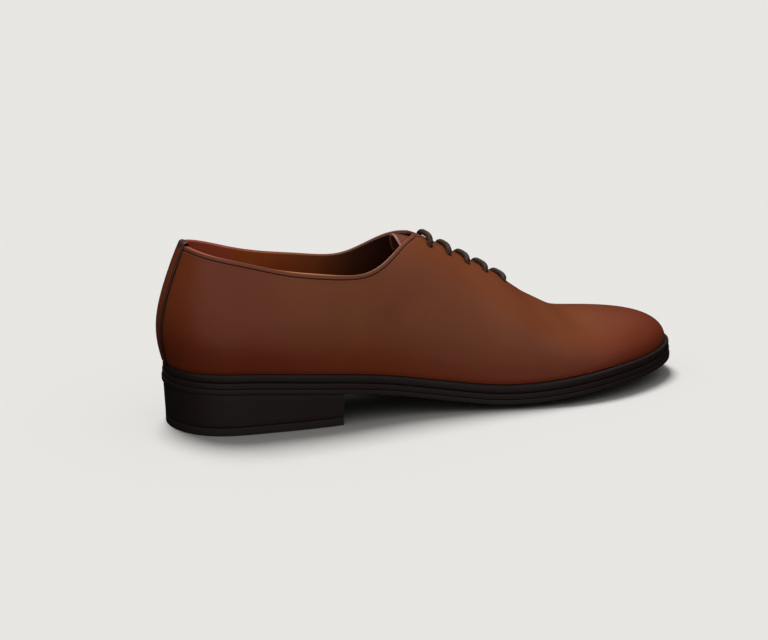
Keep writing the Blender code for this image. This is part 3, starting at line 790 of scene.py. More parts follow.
def punch_holes(thing):
    """Cuts the eyelet holes through a wall and keeps the result as its mesh."""
    bars = []
    for spot, normal in zip(*eyelet_spots()):
        path = [spot - normal * WALL * 2, spot, spot + normal * WALL]
        bars.append(tube(path, EYELET_HOLE / 2, 28))
    count = len(bars[0][0])
    quads = np.concatenate([b[1] + k * count for k, b in enumerate(bars)])
    caps = [cap + k * count for k, b in enumerate(bars) for cap in b[2]]
    cutter = closed_surface("eyelet_cutters", np.concatenate([b[0] for b in bars]), quads, caps)
    cut = thing.modifiers.new("eyelet holes", "BOOLEAN")
    cut.operation = "DIFFERENCE"
    cut.solver = "EXACT"
    cut.object = cutter
    graph = bpy.context.evaluated_depsgraph_get()
    mesh = bpy.data.meshes.new_from_object(thing.evaluated_get(graph))
    thing.modifiers.remove(cut)
    thing.data = mesh
    bpy.data.objects.remove(cutter)
    mesh.shade_smooth()
    mesh.set_sharp_from_angle(angle=math.radians(EDGE_ANGLE))


def tube(path, radius, sides):
    """Points, quads and end caps of a round bar along a path."""
    path = np.asarray(path)
    along = unit(np.gradient(path, axis=0))
    first = unit(np.cross(along, [1.0, 0, 0]))
    second = np.cross(along, first)
    turn = np.linspace(0, 2 * math.pi, sides, endpoint=False)[None, :, None]
    points = path[:, None] + (first[:, None] * np.cos(turn) + second[:, None] * np.sin(turn)) * radius
    rows = len(path)
    caps = [np.arange(sides)[::-1], np.arange(sides) + (rows - 1) * sides]
    return points.reshape(-1, 3), grid_faces(rows, sides, wrap=True), caps


def burnish_and_shade(share, foot):
    """Strength of the darkening at a share of the length and a height above the welt: the sum of three
    bell curves, at the heel and at the toe, burnishing and painted shade, and along the foot, painted
    shade."""
    heel_from, heel_fade, heel_strength = HEEL_BURNISH_AND_SHADE
    toe_from, toe_fade, toe_strength = TOE_BURNISH_AND_SHADE
    foot_from, foot_fade, foot_strength = FOOT_SHADE
    heel = heel_strength * bump(np.maximum(share - heel_from, 0), heel_fade)
    toe = toe_strength * bump(np.minimum(share - toe_from, 0), toe_fade)
    low = foot_strength * bump(np.maximum(foot - foot_from, 0), foot_fade)
    return np.clip(heel + toe + low, 0, 1)


def make_upper():
    """Outer leather of the upper, one cut with its folded edge, and its darkening: burnishing and
    painted shade at the heel and the toe, painted shade low along the welt.
    """
    shell = calf_shell()
    lift, away, foot = relief(shell)
    marks = {
        # burnishing and painted shade at the heel and the toe, painted shade low along the welt
        "burnish": burnish_and_shade(shell.grid[..., 0] / LAST_LENGTH, foot),
        "seam": bump(away - LIP_WIDTH, GROOVE_WIDTH * SEAM_SPREAD),
        "lip": past(away, LIP_WIDTH - LIP_INSIDE, LIP_FADE),
    }
    rows = np.r_[0:8:4, 8:26:6, 26:shell.rows:4, shell.rows - 1]
    calf = shell_piece("upper_calf", "upper_leather", shell, 0 * away, CALF + 0 * away, CALF / 2,
                       lift, rows, ["upper"], marks)
    punch_holes(calf)
    dress(calf, calf_leather())


def make_lining():
    """Lining leather against the inside of the upper: thicker by the heel grip behind,
    and swollen by a bell curve both ways where it rolls at the outer collar."""
    shell = Shell(64, 48, 44, LINING_ROWS, 20, CALF / 2 - LINING_REACH)
    x = shell.grid[..., 0] - HEEL_MIDDLE
    grip = past(x, HEEL_GRIP_END, HEEL_GRIP_STEP)
    top = -CALF - LINING_GAP + 0 * x
    outer = shell.grid[..., 1] < middle(shell.grid[..., 0] / LAST_LENGTH)
    below = np.linalg.norm(shell.grid - shell.grid[:, :1], axis=2)
    roll = ROLL_DEPTH * bump(x - ROLL_AT, ROLL_LENGTH) * bump(below, ROLL_HEIGHT) * outer
    under = WALL + HEEL_GRIP * grip + roll
    radius = (under[:, :1] + top[:, :1]) / 2
    marks = {
        "grip": grip,
        # painted highlight along the top of the outer lining
        "rim": bump(below, RIM_HEIGHT) * outer * (1 - grip),
        # painted shade on the lining, deeper towards the front
        "forward": np.clip((x - LINING_SHADE_FROM) / LINING_SHADE_OVER, 0, 1),
    }
    lining = shell_piece("upper_lining", "lining_leather", shell, top, under, radius, 0 * x,
                         np.arange(shell.rows), attributes=marks)
    punch_holes(lining)
    dress(lining, lining_leather())


def make_stitching():
    """Row of stitches in the groove round the topline and the throat: each is a short
    bar, arched along its length, whose ring shrinks as the root of 1 - part cubed."""
    sizes = bpy.context.scene.oxford_sizes
    pitch, long, wide = sizes.stitch_pitch, sizes.stitch_length, sizes.stitch_width
    shell = calf_shell()
    inset = LIP_WIDTH - CALF / 2
    line = shell.edge - shell.out[shell.edged] * inset
    normal = shell.normal[shell.edged, 0]
    clear = shell.edge_distance(line) > inset * 0.93
    line, normal = line[clear], normal[clear]
    steps = np.linalg.norm(np.diff(line, axis=0), axis=1)
    walked = np.concatenate([[0], np.cumsum(steps)])
    where = np.arange(pitch, walked[-1] - pitch, pitch)

    def read(way, rows):
        """Rows read at distances along the line."""
        return np.stack([np.interp(way, walked, rows[:, k]) for k in range(3)], -1)

    spot, up = read(where, line), unit(read(where, normal))
    along = unit(read(where + long / 2, line) - read(where - long / 2, line))
    across = np.cross(along, up)
    rows = shell.grid[:, GROOVE_ROWS].reshape(-1, 3)
    near = np.argmin(np.linalg.norm(rows[None] - spot[:, None], axis=2), axis=1)
    spot = spot + up * np.sum((rows[near] - spot) * up, axis=1)[:, None]
    turn = np.linspace(0, 2 * math.pi, 8, endpoint=False)
    part = np.cos(np.linspace(0, math.pi, 9))
    size = np.sqrt(np.maximum(1 - np.abs(part)**3, 0))
    sink = wide * 0.35 - sizes.groove_depth
    arch = wide * 0.3 * (1 - part**2)
    run = along[:, None, None] * (part * long / 2)[None, :, None, None]
    ring = across[:, None, None] * (size[:, None] * np.cos(turn))[None, :, :, None]
    ring = ring + up[:, None, None] * (size[:, None] * np.sin(turn))[None, :, :, None]
    height = up[:, None, None] * (sink + arch)[None, :, None, None]
    points = spot[:, None, None] + run + ring * wide / 2 + height
    one = grid_faces(len(part), len(turn), wrap=True)
    quads = np.concatenate([one + k * len(part) * len(turn) for k in range(len(spot))])
    stitches = new_piece("edge_stitching", points, quads, "upper_leather")
    dress(stitches, thread())


def leaf(name, slot, face, normal, thickness, spacing, replaces=(), attributes=None):
    """Closed sheet with round edges: face is a grid of points on its middle, and
    spacing gives the distance of each row and column from its nearest border."""
    rows, columns = spacing
    border = np.minimum(rows[:, None], columns[None])
    round_part = np.clip(border / (thickness / 2), 0, 1)
    half = thickness / 2 * np.sqrt(1 - (1 - round_part)**2)
    points = np.stack([face + normal * half[..., None], face - normal * half[..., None]])
    shape = half.shape
    count = shape[0] * shape[1]
    first = grid_faces(*shape)
    quads = np.concatenate([first, first[:, ::-1] + count])
    edge = np.clip(1 - border / thickness, 0, 1)
    extra = {"edge": np.stack([edge, edge])}
    for label, values in (attributes or {}).items():
        extra[label] = np.stack([values, values])
    return new_piece(name, points, quads, slot, replaces, attributes=extra)


def border_steps(length, count, thickness):
    """Places from 0 to a length, with close steps at both ends for a round edge, and
    the distance of each from the nearest end."""
    close = thickness / 2 * np.array([0, 0.04, 0.14, 0.32, 0.6, 1.0])
    inside = np.linspace(close[-1], length - close[-1], count)[1:-1]
    places = np.concatenate([close, inside, length - close[::-1]])
    return places, np.minimum(places, length - places)


def make_tongue():
    """Tongue: a curved leather leaf under the facings and the vamp."""
    long = (TONGUE_END - TONGUE_TOP) * LAST_LENGTH
    rows, row_gap = border_steps(long, 110, TONGUE_THICKNESS)
    columns, column_gap = border_steps(TONGUE_TOP_WIDTH, 44, TONGUE_THICKNESS)
    part = rows[:, None] / long
    width = TONGUE_TOP_WIDTH + (TONGUE_END_WIDTH - TONGUE_TOP_WIDTH) * part
    away = (columns[None] / TONGUE_TOP_WIDTH - 0.5) * width
    corner = TONGUE_ROUND * (np.abs(away) / (TONGUE_TOP_WIDTH / 2))**4 * bump(part, 0.15)
    share = TONGUE_TOP + (TONGUE_END - TONGUE_TOP) * part + corner
    spot, normal = crest_frame(share, away)
    face = spot - normal * (WALL + TONGUE_CLEARANCE + TONGUE_THICKNESS / 2)
    tongue = leaf("tongue_leaf", "tongue_leather", face, normal, TONGUE_THICKNESS,
                  (row_gap, column_gap), ["tongue"])
    dress(tongue, tongue_leather())


def make_back_strip():
    """Narrow strip over the back seam, folded over the collar into the shoe."""
    turn_top = math.asin(COLLAR.at("outer", 0.0)**(SECTION_UP / 2))
    part = np.linspace(STRIP_START, 1, 121)
    width = STRIP_END_WIDTH + (STRIP_TOP_WIDTH - STRIP_END_WIDTH) * part**STRIP_NARROWING
    column = np.sin(np.linspace(-1, 1, 25) * math.pi / 2)
    middle_lift = GAP + STRIP_THICKNESS / 2
    lines = []
    for place_across in column:
        side = OUTER if place_across < 0 else INNER
        share = share_after(abs(place_across) * width / 2)
        lines.append(strip_line(side, share, turn_top, part, middle_lift))
    face = np.stack([line[0] for line in lines], 1)
    normal = np.stack([line[1] for line in lines], 1)
    seam = face[:, len(column) // 2]
    walked = np.concatenate([[0], np.cumsum(np.linalg.norm(np.diff(seam, axis=0), axis=1))])
    row_gap = np.minimum(walked, walked[-1] - walked)
    column_gap = (1 - np.abs(column)) * STRIP_END_WIDTH / 2
    across = np.tile(np.abs(column), (len(face), 1))
    rise = np.tile(np.clip(walked / walked[-1], 0, 1)[:, None], (1, len(column)))
    strip = leaf("back_strip_leaf", "upper_leather", face, normal, STRIP_THICKNESS,
                 (row_gap, column_gap), ["back_strip"], {"across": across, "rise": rise})
    dress(strip, strip_leather())


def strip_line(side, share, turn_top, part, lift):
    """One line of the back strip and its outward directions: up the seam, over the
    collar in a half circle and down inside it."""
    step = 1e-4
    here = skin(side, share, turn_top * part)
    up = unit(skin(side, share, turn_top * (part + step)) - skin(side, share, turn_top * (part - step)))
    outward = (here - np.array([HEEL_ROUND, 0, 0])) * np.array([1, 1, 0])
    normal = unit(outward - up * np.sum(outward * up, axis=1)[:, None])
    seam = np.sum(np.linalg.norm(np.diff(here, axis=0), axis=1))
    tab_rows = int(round(STRIP_TAB / seam * (len(part) - 1)))
    turn = np.linspace(0, math.pi, 15)[1:-1, None]
    round_off = WALL / 2 + lift
    centre = here[-1] - normal[-1] * WALL / 2
    over_normal = normal[-1] * np.cos(turn) + up[-1] * np.sin(turn)
    inside = (here - normal * (WALL + lift))[::-1][:tab_rows + 1]
    points = np.concatenate([here + normal * lift, centre + over_normal * round_off, inside])
    return points, np.concatenate([normal, over_normal, -normal[::-1][:tab_rows + 1]])


def lace_path():
    """Middle of the lace from its hidden end under the top hole on the outer side to
    the one on the inner side, with its half width and half thickness. Bars lie over
    the throat, and the runs between them lie flat between the lining and the tongue."""
    shares = np.linspace(EYELET_FIRST, EYELET_LAST, EYELET_COUNT)
    radius = bpy.context.scene.oxford_sizes.lace_width / 2
    hidden = WALL + TONGUE_CLEARANCE / 2
    knots = []

    def bar(number, side):
        """From the hole on one side over the throat to the hole on the other. Its points
        give the place across, as a share of the holes' spread, and the height over the
        last."""
        spare = 0.0005 if number == 1 else 0.0
        rise = [
            (1, 0.0009 - hidden),
            (1, -0.0014),
            (0.99, -0.0004),
            (0.90, 0.55 * radius),
            (0.68, 0.95 * radius + spare),
            (0.35, radius + spare),
        ]
        for across, level in rise:
            knots.append((shares[number - 1], side * across, level, 1.0))
        for across, level in rise[::-1]:
            knots.append((shares[number - 1], -side * across, level, 1.0))

    def run(start, end, side, shift):
        """From one hole to another on the same side, under the lining."""
        first, last = shares[start - 1], shares[end - 1]
        for part in np.linspace(0.10, 0.90, 7):
            aside = 1 + shift * math.sin(part * math.pi)
            knots.append((first + (last - first) * part, side * aside, -hidden, 0.0))

    knots.append((shares[0] + LACE_ENDS[0], OUTER * (1 + RUN_SHIFT), -hidden, 0.0))
    run(1, 2, OUTER, RUN_SHIFT)
    bar(2, OUTER)
    run(2, 4, INNER, RUN_SHIFT)
    bar(4, INNER)
    run(4, 5, OUTER, 0)
    bar(5, OUTER)
    run(5, 3, INNER, -RUN_SHIFT)
    bar(3, INNER)
    run(3, 1, OUTER, -RUN_SHIFT)
    bar(1, OUTER)
    knots.append((shares[0] + LACE_ENDS[1], INNER, -hidden, 0.0))
    knots = np.array(knots)
    spot, normal = crest_frame(knots[:, 0], knots[:, 1] * EYELET_SPREAD)
    points = spot + normal * knots[:, 2:3]
    return smooth_path(np.concatenate([points, knots[:, 3:4]], 1), LACE_RINGS)


def smooth_path(knots, count):
    """Even steps along a curve through the knots: a cardinal curve, its first three
    numbers a place and the rest carried along."""
    ends = np.concatenate([2 * knots[:1] - knots[1:2], knots, 2 * knots[-1:] - knots[-2:-1]])
    t = np.linspace(0, 1, 24, endpoint=False)[:, None]
    pieces = []
    for k in range(1, len(knots)):
        before, start, end, after = ends[k - 1:k + 3]
        slope_start, slope_end = (end - before) * 0.42, (after - start) * 0.42
        pieces.append(start * (2 * t**3 - 3 * t**2 + 1) + slope_start * (t**3 - 2 * t**2 + t)
                      + end * (3 * t**2 - 2 * t**3) + slope_end * (t**3 - t**2))
    dense = np.concatenate(pieces + [knots[-1:]])
    walked = np.concatenate([[0], np.cumsum(np.linalg.norm(np.diff(dense[:, :3], axis=0), axis=1))])
    even = np.linspace(0, walked[-1], count)
    return np.stack([np.interp(even, walked, dense[:, k]) for k in range(dense.shape[1])], -1), even


def make_lace():
    """Round waxed lace through the five pairs of holes, in straight bars: an ellipse
    carried along its path, swollen where one of its crossing strands is on top."""
    radius = bpy.context.scene.oxford_sizes.lace_width / 2
    path, walked = lace_path()
    open_part = np.clip(path[:, 3], 0, 1)
    path = path[:, :3]
    along = unit(np.gradient(path, axis=0))
    first = np.zeros_like(along)
    guide = np.array([0.0, 1.0, 0.0])
    for k, direction in enumerate(along):
        guide = guide - direction * guide.dot(direction)
        guide = guide / np.linalg.norm(guide)
        first[k] = guide
    second = np.cross(along, first)
    turn = np.linspace(0, 2 * math.pi, LACE_SIDES + 1)
    wide = radius * (1 + LACE_SPREAD * (1 - open_part))
    thick = LACE_FLAT + (radius - LACE_FLAT) * open_part
    strands = turn[None] * 4
    pitch = walked[:, None] / LACE_PITCH * 2 * math.pi
    braid = np.maximum(np.sin(strands + pitch), np.sin(strands - pitch + math.pi / 2))
    swell = 1 + LACE_RELIEF * (braid - 0.5) * open_part[:, None]
    ring = first[:, None] * (np.cos(turn)[None] * wide[:, None] * swell)[..., None]
    ring = ring + second[:, None] * (np.sin(turn)[None] * thick[:, None] * swell)[..., None]
    points = path[:, None] + ring
    index = np.arange(points.shape[0] * points.shape[1]).reshape(points.shape[:2])
    caps = [index[0, :-1][::-1], index[-1, :-1]]
    uv = np.stack(np.broadcast_arrays(walked[:, None] / LACE_PITCH, turn[None] / (2 * math.pi)), -1)
    names = ["lace_bar_%d" % number for number in range(1, EYELET_COUNT + 1)]
    lace = new_piece("lace", points, quads_of(index), "lace", names, caps=caps, uv=uv,
                     attributes={"braid": braid})
    dress(lace, waxed_cotton())


def ring(count):
    """Shares and points once round the feather line, with outward directions."""
    share = evenly(0, 1, count)
    line = np.concatenate([feather(OUTER, share), feather(INNER, share)[-2:0:-1]])
    shares = np.concatenate([share, share[-2:0:-1]])
    along = np.roll(line, -1, axis=0) - np.roll(line, 1, axis=0)
    return shares, line, unit(np.stack([along[:, 1], -along[:, 0]], -1))


def edge_lines(count, reach, end):
    """Outer and inner side of the outline moved outwards by reach(share)."""
    shares, line, out = ring(FINE)
    moved = line + out * reach(shares)[:, None]
    wanted = evenly(0, end, count)
    forward = np.arange(FINE + 1)
    sides = []
    for order in (forward, -forward % len(line)):
        points = [np.interp(wanted, shares[order], moved[order, k]) for k in (0, 1)]
        sides.append(np.stack(points, -1))
    return sides


def plate(name, slot, count, sides, top, bottom, replaces, end=1.0, columns=20):
    """Solid layer under the last: sides lists (reach outside the feather line, part of
    the height) from the top edge to the bottom edge."""
    lines = [edge_lines(count, reach, end) for reach, _ in sides]
    share = evenly(0, end, count)[:, None]
    across = np.sin(np.linspace(-1, 1, columns + 1) * math.pi / 2)[None]

    def face(line, height):
        outer, inner = line
        plan = outer[:, None] + (inner - outer)[:, None] * ((across + 1) / 2)[..., None]
        return np.concatenate([plan, height(share + 0 * across, across + 0 * share)[..., None]], -1)

    upper_face, lower_face = face(lines[0], top), face(lines[-1], bottom)

    def edge(line, part, column):
        high, low = upper_face[:, column, 2], lower_face[:, column, 2]
        return np.concatenate([line, (high + (low - high) * part)[:, None]], -1)[:, None]

    between = list(zip(lines, sides))[1:-1]
    inner_edge = [edge(line[1], part, -1) for line, (_, part) in between]
    outer_edge = [edge(line[0], part, 0) for line, (_, part) in between[::-1]]
    points = np.concatenate([upper_face] + inner_edge + [lower_face[:, ::-1]] + outer_edge, 1)
    rows, around = points.shape[:2]
    caps = [] if end == 1.0 else [np.arange(around) + (rows - 1) * around]
    thing = new_piece(name, points, grid_faces(rows, around, wrap=True), slot, replaces, caps=caps)
    thing.data.set_sharp_from_angle(angle=math.radians(SOLE_ANGLE))
    return thing


def edge_reach(step):
    """Reach of the sole's edge outside the feather line, moved out by a step."""
    return lambda share: MARGIN_TOE * MARGIN.at("reach", share) + step


def below_feather(drop):
    """Height at a drop below the feather line, the same all the way across."""
    return lambda share, across: feather_height(share) - drop


def round_sides(step, thickness, ease, grooves=(), taper=0.0):
    """Side of a layer from its top to its bottom edge, eased by a radius at both, with
    fine grooves at parts of its height and a taper towards the bottom."""
    groove = bpy.context.scene.oxford_sizes.lift_groove
    eased = ease / thickness * EASE_PARTS
    lined = np.add.outer(np.array(grooves), LINE_PARTS).ravel()
    parts = np.unique(np.concatenate([eased, 1 - eased, lined]))
    sides = []
    for part in parts:
        depth = min(part, 1 - part) * thickness
        back = ease * (1 - math.sqrt(1 - (1 - min(depth / ease, 1))**2))
        notch = sum(groove * math.exp(-((part - g) / LINE_WIDTH)**2) for g in grooves)
        sides.append((edge_reach(step - back - notch - taper * part), part))
    return sides


def make_insole():
    """Insole with its sock of lining leather, its top edge rounded off."""
    def set_back(step):
        """Reach of the sock's side, a step back from its full width."""
        return lambda share: 0 * share - WALL - INSOLE_CLEARANCE + SOCK_REACH - step

    sides = [(set_back(step), part) for step, part in SOCK_EDGE]
    insole = plate("insole_sock", "lining_leather", 140, sides, below_feather(-INSOLE_RISE),
                   below_feather(WELT_THICKNESS), ["insole"])
    dress(insole, sock_leather())


def make_welt():
    """Welt: a half round bead between the upper and the sole, carried along the
    feather line."""
    shares, line, out = ring(420)
    foot = feather_height(shares)
    turn = np.linspace(math.pi / 2, -math.pi / 2, 15)
    half = WELT_THICKNESS / 2 - GAP / 2
    reach = WELT_ROUND * (np.sign(np.cos(turn)) * np.abs(np.cos(turn))**0.8 - 1)
    height = -WELT_THICKNESS / 2 - GAP / 2 + half * np.sin(turn)
    outside = MARGIN_TOE * MARGIN.at("reach", shares)
    inner = np.full(len(shares), -WELT_INSIDE)
    rows = [(outside + r, h) for r, h in zip(reach, height)]
    rows = [(inner, -GAP)] + rows + [(inner, -WELT_THICKNESS)]
    loops = [np.concatenate([line + out * r[:, None], (foot + h)[:, None]], -1) for r, h in rows]
    points = np.stack(loops, 1)
    points = np.concatenate([points, points[:1]])
    index = np.arange(points.shape[0] * points.shape[1]).reshape(points.shape[:2])
    quads = quads_of(np.concatenate([index, index[:, :1]], 1))
    welt = new_piece("welt_bead", points, quads, "sole_edge", ["welt"])
    welt.data.set_sharp_from_angle(angle=math.radians(SOLE_ANGLE))
    dress(welt, waxed_edge())


def outsole_bottom(share, across):
    """Underside of the outsole: it hangs lower in the middle and is flat where it
    would pass the floor."""
    edge = feather_height(share) - WELT_THICKNESS - MIDSOLE_THICKNESS - OUTSOLE_THICKNESS - 2 * GAP
    front = np.clip((share - HEEL_LENGTH / LAST_LENGTH - TREAD_STARTS) / TREAD_RAMP, 0, 1)
    front = front * front * (3 - 2 * front)
    fade = closing(share, TREAD_ENDS_FROM, 1.0, 2)
    return np.maximum(edge - SOLE_CROWN * front * fade * (1 - np.abs(across)**CROWN_FULLNESS), 0)


def make_sole():
    """Middle layer and outsole, their edges eased and waxed black."""
    middle_top = WELT_THICKNESS + GAP
    sides = round_sides(STEP_OUT, MIDSOLE_THICKNESS, MIDSOLE_EASE)
    midsole = plate("midsole_layer", "sole_edge", 220, sides, below_feather(middle_top),
                    below_feather(middle_top + MIDSOLE_THICKNESS), ["midsole"])
    dress(midsole, waxed_edge())
    outsole_top = WELT_THICKNESS + MIDSOLE_THICKNESS + 2 * GAP
    sides = round_sides(2 * STEP_OUT, OUTSOLE_THICKNESS, OUTSOLE_EASE)
    outsole = plate("outsole_layer", "sole_leather", 240, sides, below_feather(outsole_top),
                    outsole_bottom, ["outsole"], columns=28)
    dress(outsole, sole_leather())


def make_heel():
    """Stacked heel with its lifts just visible under the wax, and the rubber below."""
    end = HEEL_LENGTH / LAST_LENGTH
    layers = WELT_THICKNESS + MIDSOLE_THICKNESS + OUTSOLE_THICKNESS + TOP_PIECE_THICKNESS
    sides = round_sides(2 * STEP_OUT - HEEL_INSET, SEAT_HEIGHT - layers, HEEL_EASE,
                        LIFT_LINES, HEEL_TAPER)
    heel = plate("heel_stack", "heel_stack", 120, sides,
                 lambda share, across: outsole_bottom(share, across) - GAP,
                 lambda share, across: 0 * share + TOP_PIECE_THICKNESS + GAP, ["heel"], end=end)
    dress(heel, waxed_edge())
    sides = round_sides(2 * STEP_OUT - HEEL_INSET - HEEL_TAPER, TOP_PIECE_THICKNESS, RUBBER_EASE)
    rubber = plate("heel_rubber", "heel_rubber", 120, sides,
                   lambda share, across: 0 * share + TOP_PIECE_THICKNESS,
                   lambda share, across: 0 * share, ["top_piece"], end=end)
    dress(rubber, heel_rubber())


def dress(thing, material):
    """Gives a piece its one material."""
    thing.data.materials.clear()
    thing.data.materials.append(material)


def node(tree, kind, inputs=None, **settings):
    """Adds a node: settings are its properties, inputs its sockets' values or links."""
    made = tree.nodes.new(kind)
    for name, value in settings.items():
        setattr(made, name, value)
    for key, value in (inputs or {}).items():
        if isinstance(value, bpy.types.NodeSocket):
            tree.links.new(value, made.inputs[key])
        else:
            made.inputs[key].default_value = value
    return made


def paint(name):
    """Colour of that name among the settings."""
    return tuple(getattr(bpy.context.scene.oxford_colours, name))


def mixed(tree, factor, first, second):
    """Colour between two colours."""
    made = node(tree, "ShaderNodeMix", {0: factor, 6: first, 7: second}, data_type="RGBA")
    return made.outputs[2]


def attribute(tree, name):
    """Number that a mesh carries at each of its points."""
    return node(tree, "ShaderNodeAttribute", attribute_name=name).outputs["Fac"]


def noise(tree, size, detail=2.0):
    """Even noise over the object, its blots about a size across in metres."""
    where = node(tree, "ShaderNodeTexCoord").outputs["Object"]
    settings = {"Vector": where, "Scale": 1 / size, "Detail": detail}
    return node(tree, "ShaderNodeTexNoise", settings).outputs["Fac"]


def graded(tree, value, low, high, start=0.0, end=1.0, **settings):
    """A number between low and high brought to between start and end."""
    inputs = {0: value, 1: low, 2: high, 3: start, 4: end}
    return node(tree, "ShaderNodeMapRange", inputs, **settings).outputs[0]


def clouded(tree, size, first, second, detail=2.0, spread=0.2):
    """Colour that drifts between two colours in soft blots about a size across."""
    cloud = graded(tree, noise(tree, size, detail), 0.5 - spread, 0.5 + spread)
    return mixed(tree, cloud, first, second)


def bumped(tree, shader, height, distance, strength=1.0):
    """Fine relief on a shader, its depth given in metres."""
    made = node(tree, "ShaderNodeBump", {"Height": height, "Distance": distance, "Strength": strength})
    tree.links.new(made.outputs[0], shader.inputs["Normal"])
    return made


def finish(name, colour, roughness, coat=0.0, coat_roughness=0.2, specular=0.35):
    """Material with its shader's plain values set."""
    material = bpy.data.materials.new(name)
    material.use_nodes = True
    tree = material.node_tree
    shader = tree.nodes["Principled BSDF"]
    shader.inputs["Base Color"].default_value = colour
    shader.inputs["Roughness"].default_value = roughness
    shader.inputs["Specular IOR Level"].default_value = specular
    shader.inputs["Coat Weight"].default_value = coat
    shader.inputs["Coat Roughness"].default_value = coat_roughness
    return material, tree, shader


def calf_leather():
    """Polished box calf: a warm brown, darker at the ends by burnishing and painted shade and darker
    low down by painted shade, with cloudy polish, faint pores and a broad soft sheen under a thin wax."""
    material, tree, shader = finish("polished calf leather", paint("calf"), 0.42, 0.04, 0.38, 0.17)
    base = clouded(tree, POLISH_CLOUD, paint("calf"), paint("calf_light"), 3.0, 0.15)
    # darker at the heel and the toe by burnishing and painted shade, and low down by painted shade
    burnt = mixed(tree, attribute(tree, "burnish"), base, paint("calf_dark_and_shade"))
    lip = graded(tree, attribute(tree, "lip"), 0, 1, 0, 0.55)
    lipped = mixed(tree, lip, burnt, paint("edge"))
    final = mixed(tree, attribute(tree, "seam"), lipped, paint("seam"))
    tree.links.new(final, shader.inputs["Base Color"])
    rough = graded(tree, noise(tree, POLISH_PATCH, 3.0), 0.3, 0.7, 0.38, 0.47)
    tree.links.new(rough, shader.inputs["Roughness"])
    pores = node(tree, "ShaderNodeMath", {0: noise(tree, CALF_PORE), 1: noise(tree, CALF_GRAIN)},
                 operation="ADD").outputs[0]
    bumped(tree, shader, pores, COARSE_RELIEF)
    return material


def lining_leather():
    """Smooth tan lining, darker and browner at the heel grip, slightly rubbed, with painted shade
    towards the front and a painted highlight along the top of the outer collar.
    """
    material, tree, shader = finish("tan lining leather", paint("lining"), 0.55)
    base = clouded(tree, LINING_CLOUD, paint("lining"), paint("lining_worn"), 3.0)
    # painted shade towards the front
    shadowed = mixed(tree, attribute(tree, "forward"), base, paint("lining_shade"))
    gripped = mixed(tree, attribute(tree, "grip"), shadowed, paint("grip"))
    # painted highlight on the rim of the outer lining
    rubbed = graded(tree, attribute(tree, "rim"), 0, 1, 0, 0.7)
    final = mixed(tree, rubbed, gripped, paint("lining_rim_highlight"))
    tree.links.new(final, shader.inputs["Base Color"])
    bumped(tree, shader, noise(tree, LINING_PORE), FINE_RELIEF)
    return material


def tongue_leather():
    """Calf face with a raw, lighter cut edge."""
    material, tree, shader = finish("tongue leather", paint("calf"), 0.45, 0.15, 0.25)
    base = clouded(tree, STRIP_CLOUD, paint("calf_dark_and_shade"), paint("calf"))
    edge = graded(tree, attribute(tree, "edge"), 0.35, 0.7)
    tree.links.new(mixed(tree, edge, base, paint("cut_edge")), shader.inputs["Base Color"])
    bumped(tree, shader, noise(tree, TONGUE_PORE), FINE_RELIEF)
    return material


def strip_leather():
    """The same calf on the back strip, dark along its sewn edges by edge ink and painted shade, and at
    its fold by edge paint and painted shade.
    """
    material, tree, shader = finish("back strip leather", paint("calf_dark_and_shade"), 0.38, 0.30, 0.22)
    base = clouded(tree, STRIP_CLOUD, paint("calf_dark_and_shade"), paint("calf"))
    # dark along both edges: edge ink and painted shade of the gap beside them
    edge = graded(tree, attribute(tree, "across"), 0.74, 0.86)
    lined = mixed(tree, edge, base, paint("seam"))
    # dark fold over the collar: edge paint and painted shade
    fold = graded(tree, attribute(tree, "rise"), 0.80, 0.825, 0, 0.85)
    tree.links.new(mixed(tree, fold, lined, paint("fold")), shader.inputs["Base Color"])
    bumped(tree, shader, noise(tree, STRIP_PORE), COARSE_RELIEF)
    return material


def thread():
    """Dark waxed linen thread, dull and sunk in the groove."""
    return finish("linen thread", paint("seam"), 0.7, specular=0.1)[0]


def waxed_cotton():
    """Round braided lace, dull with wax, its strands darkened in the hollows by painted shade."""
    material, tree, shader = finish("waxed cotton lace", paint("lace"), 0.66, 0.03, 0.4, 0.2)
    rise = graded(tree, attribute(tree, "braid"), 0.0, 1.0)
    # painted shade in the hollows between the strands
    strands = mixed(tree, rise, paint("lace_hollow_shade"), paint("lace"))
    tree.links.new(strands, shader.inputs["Base Color"])
    bumped(tree, shader, noise(tree, COTTON_FIBRE), COARSE_RELIEF)
    return material


def sock_leather():
    """Sock on the insole, tan and dull."""
    material, tree, shader = finish("sock leather", paint("lining"), 0.62)
    bumped(tree, shader, noise(tree, SOCK_PORE), FINE_RELIEF)
    return material


def waxed_edge():
    """Black edge wax over leather layers: near black, smooth, with a dull shine."""
    material, tree, shader = finish("black waxed edge", paint("sole"), 0.48, 0.0, 0.3, 0.11)
    rough = graded(tree, noise(tree, WAX_PATCH, 3.0), 0.3, 0.7, 0.40, 0.52)
    tree.links.new(rough, shader.inputs["Roughness"])
    bumped(tree, shader, noise(tree, WAX_RIPPLE, 3.0), FINE_RELIEF)
    return material


def sole_leather():
    """Black stained sole leather with a fine dry grain."""
    material, tree, shader = finish("black stained sole leather", paint("sole"), 0.50,
                                    specular=0.12)
    bumped(tree, shader, noise(tree, SOLE_GRAIN, 3.0), COARSE_RELIEF)
    return material


def heel_rubber():
    """Black moulded rubber."""
    material, tree, shader = finish("black heel rubber", paint("rubber"), 0.58, specular=0.11)
    bumped(tree, shader, noise(tree, RUBBER_GRAIN), COARSE_RELIEF)
    return material


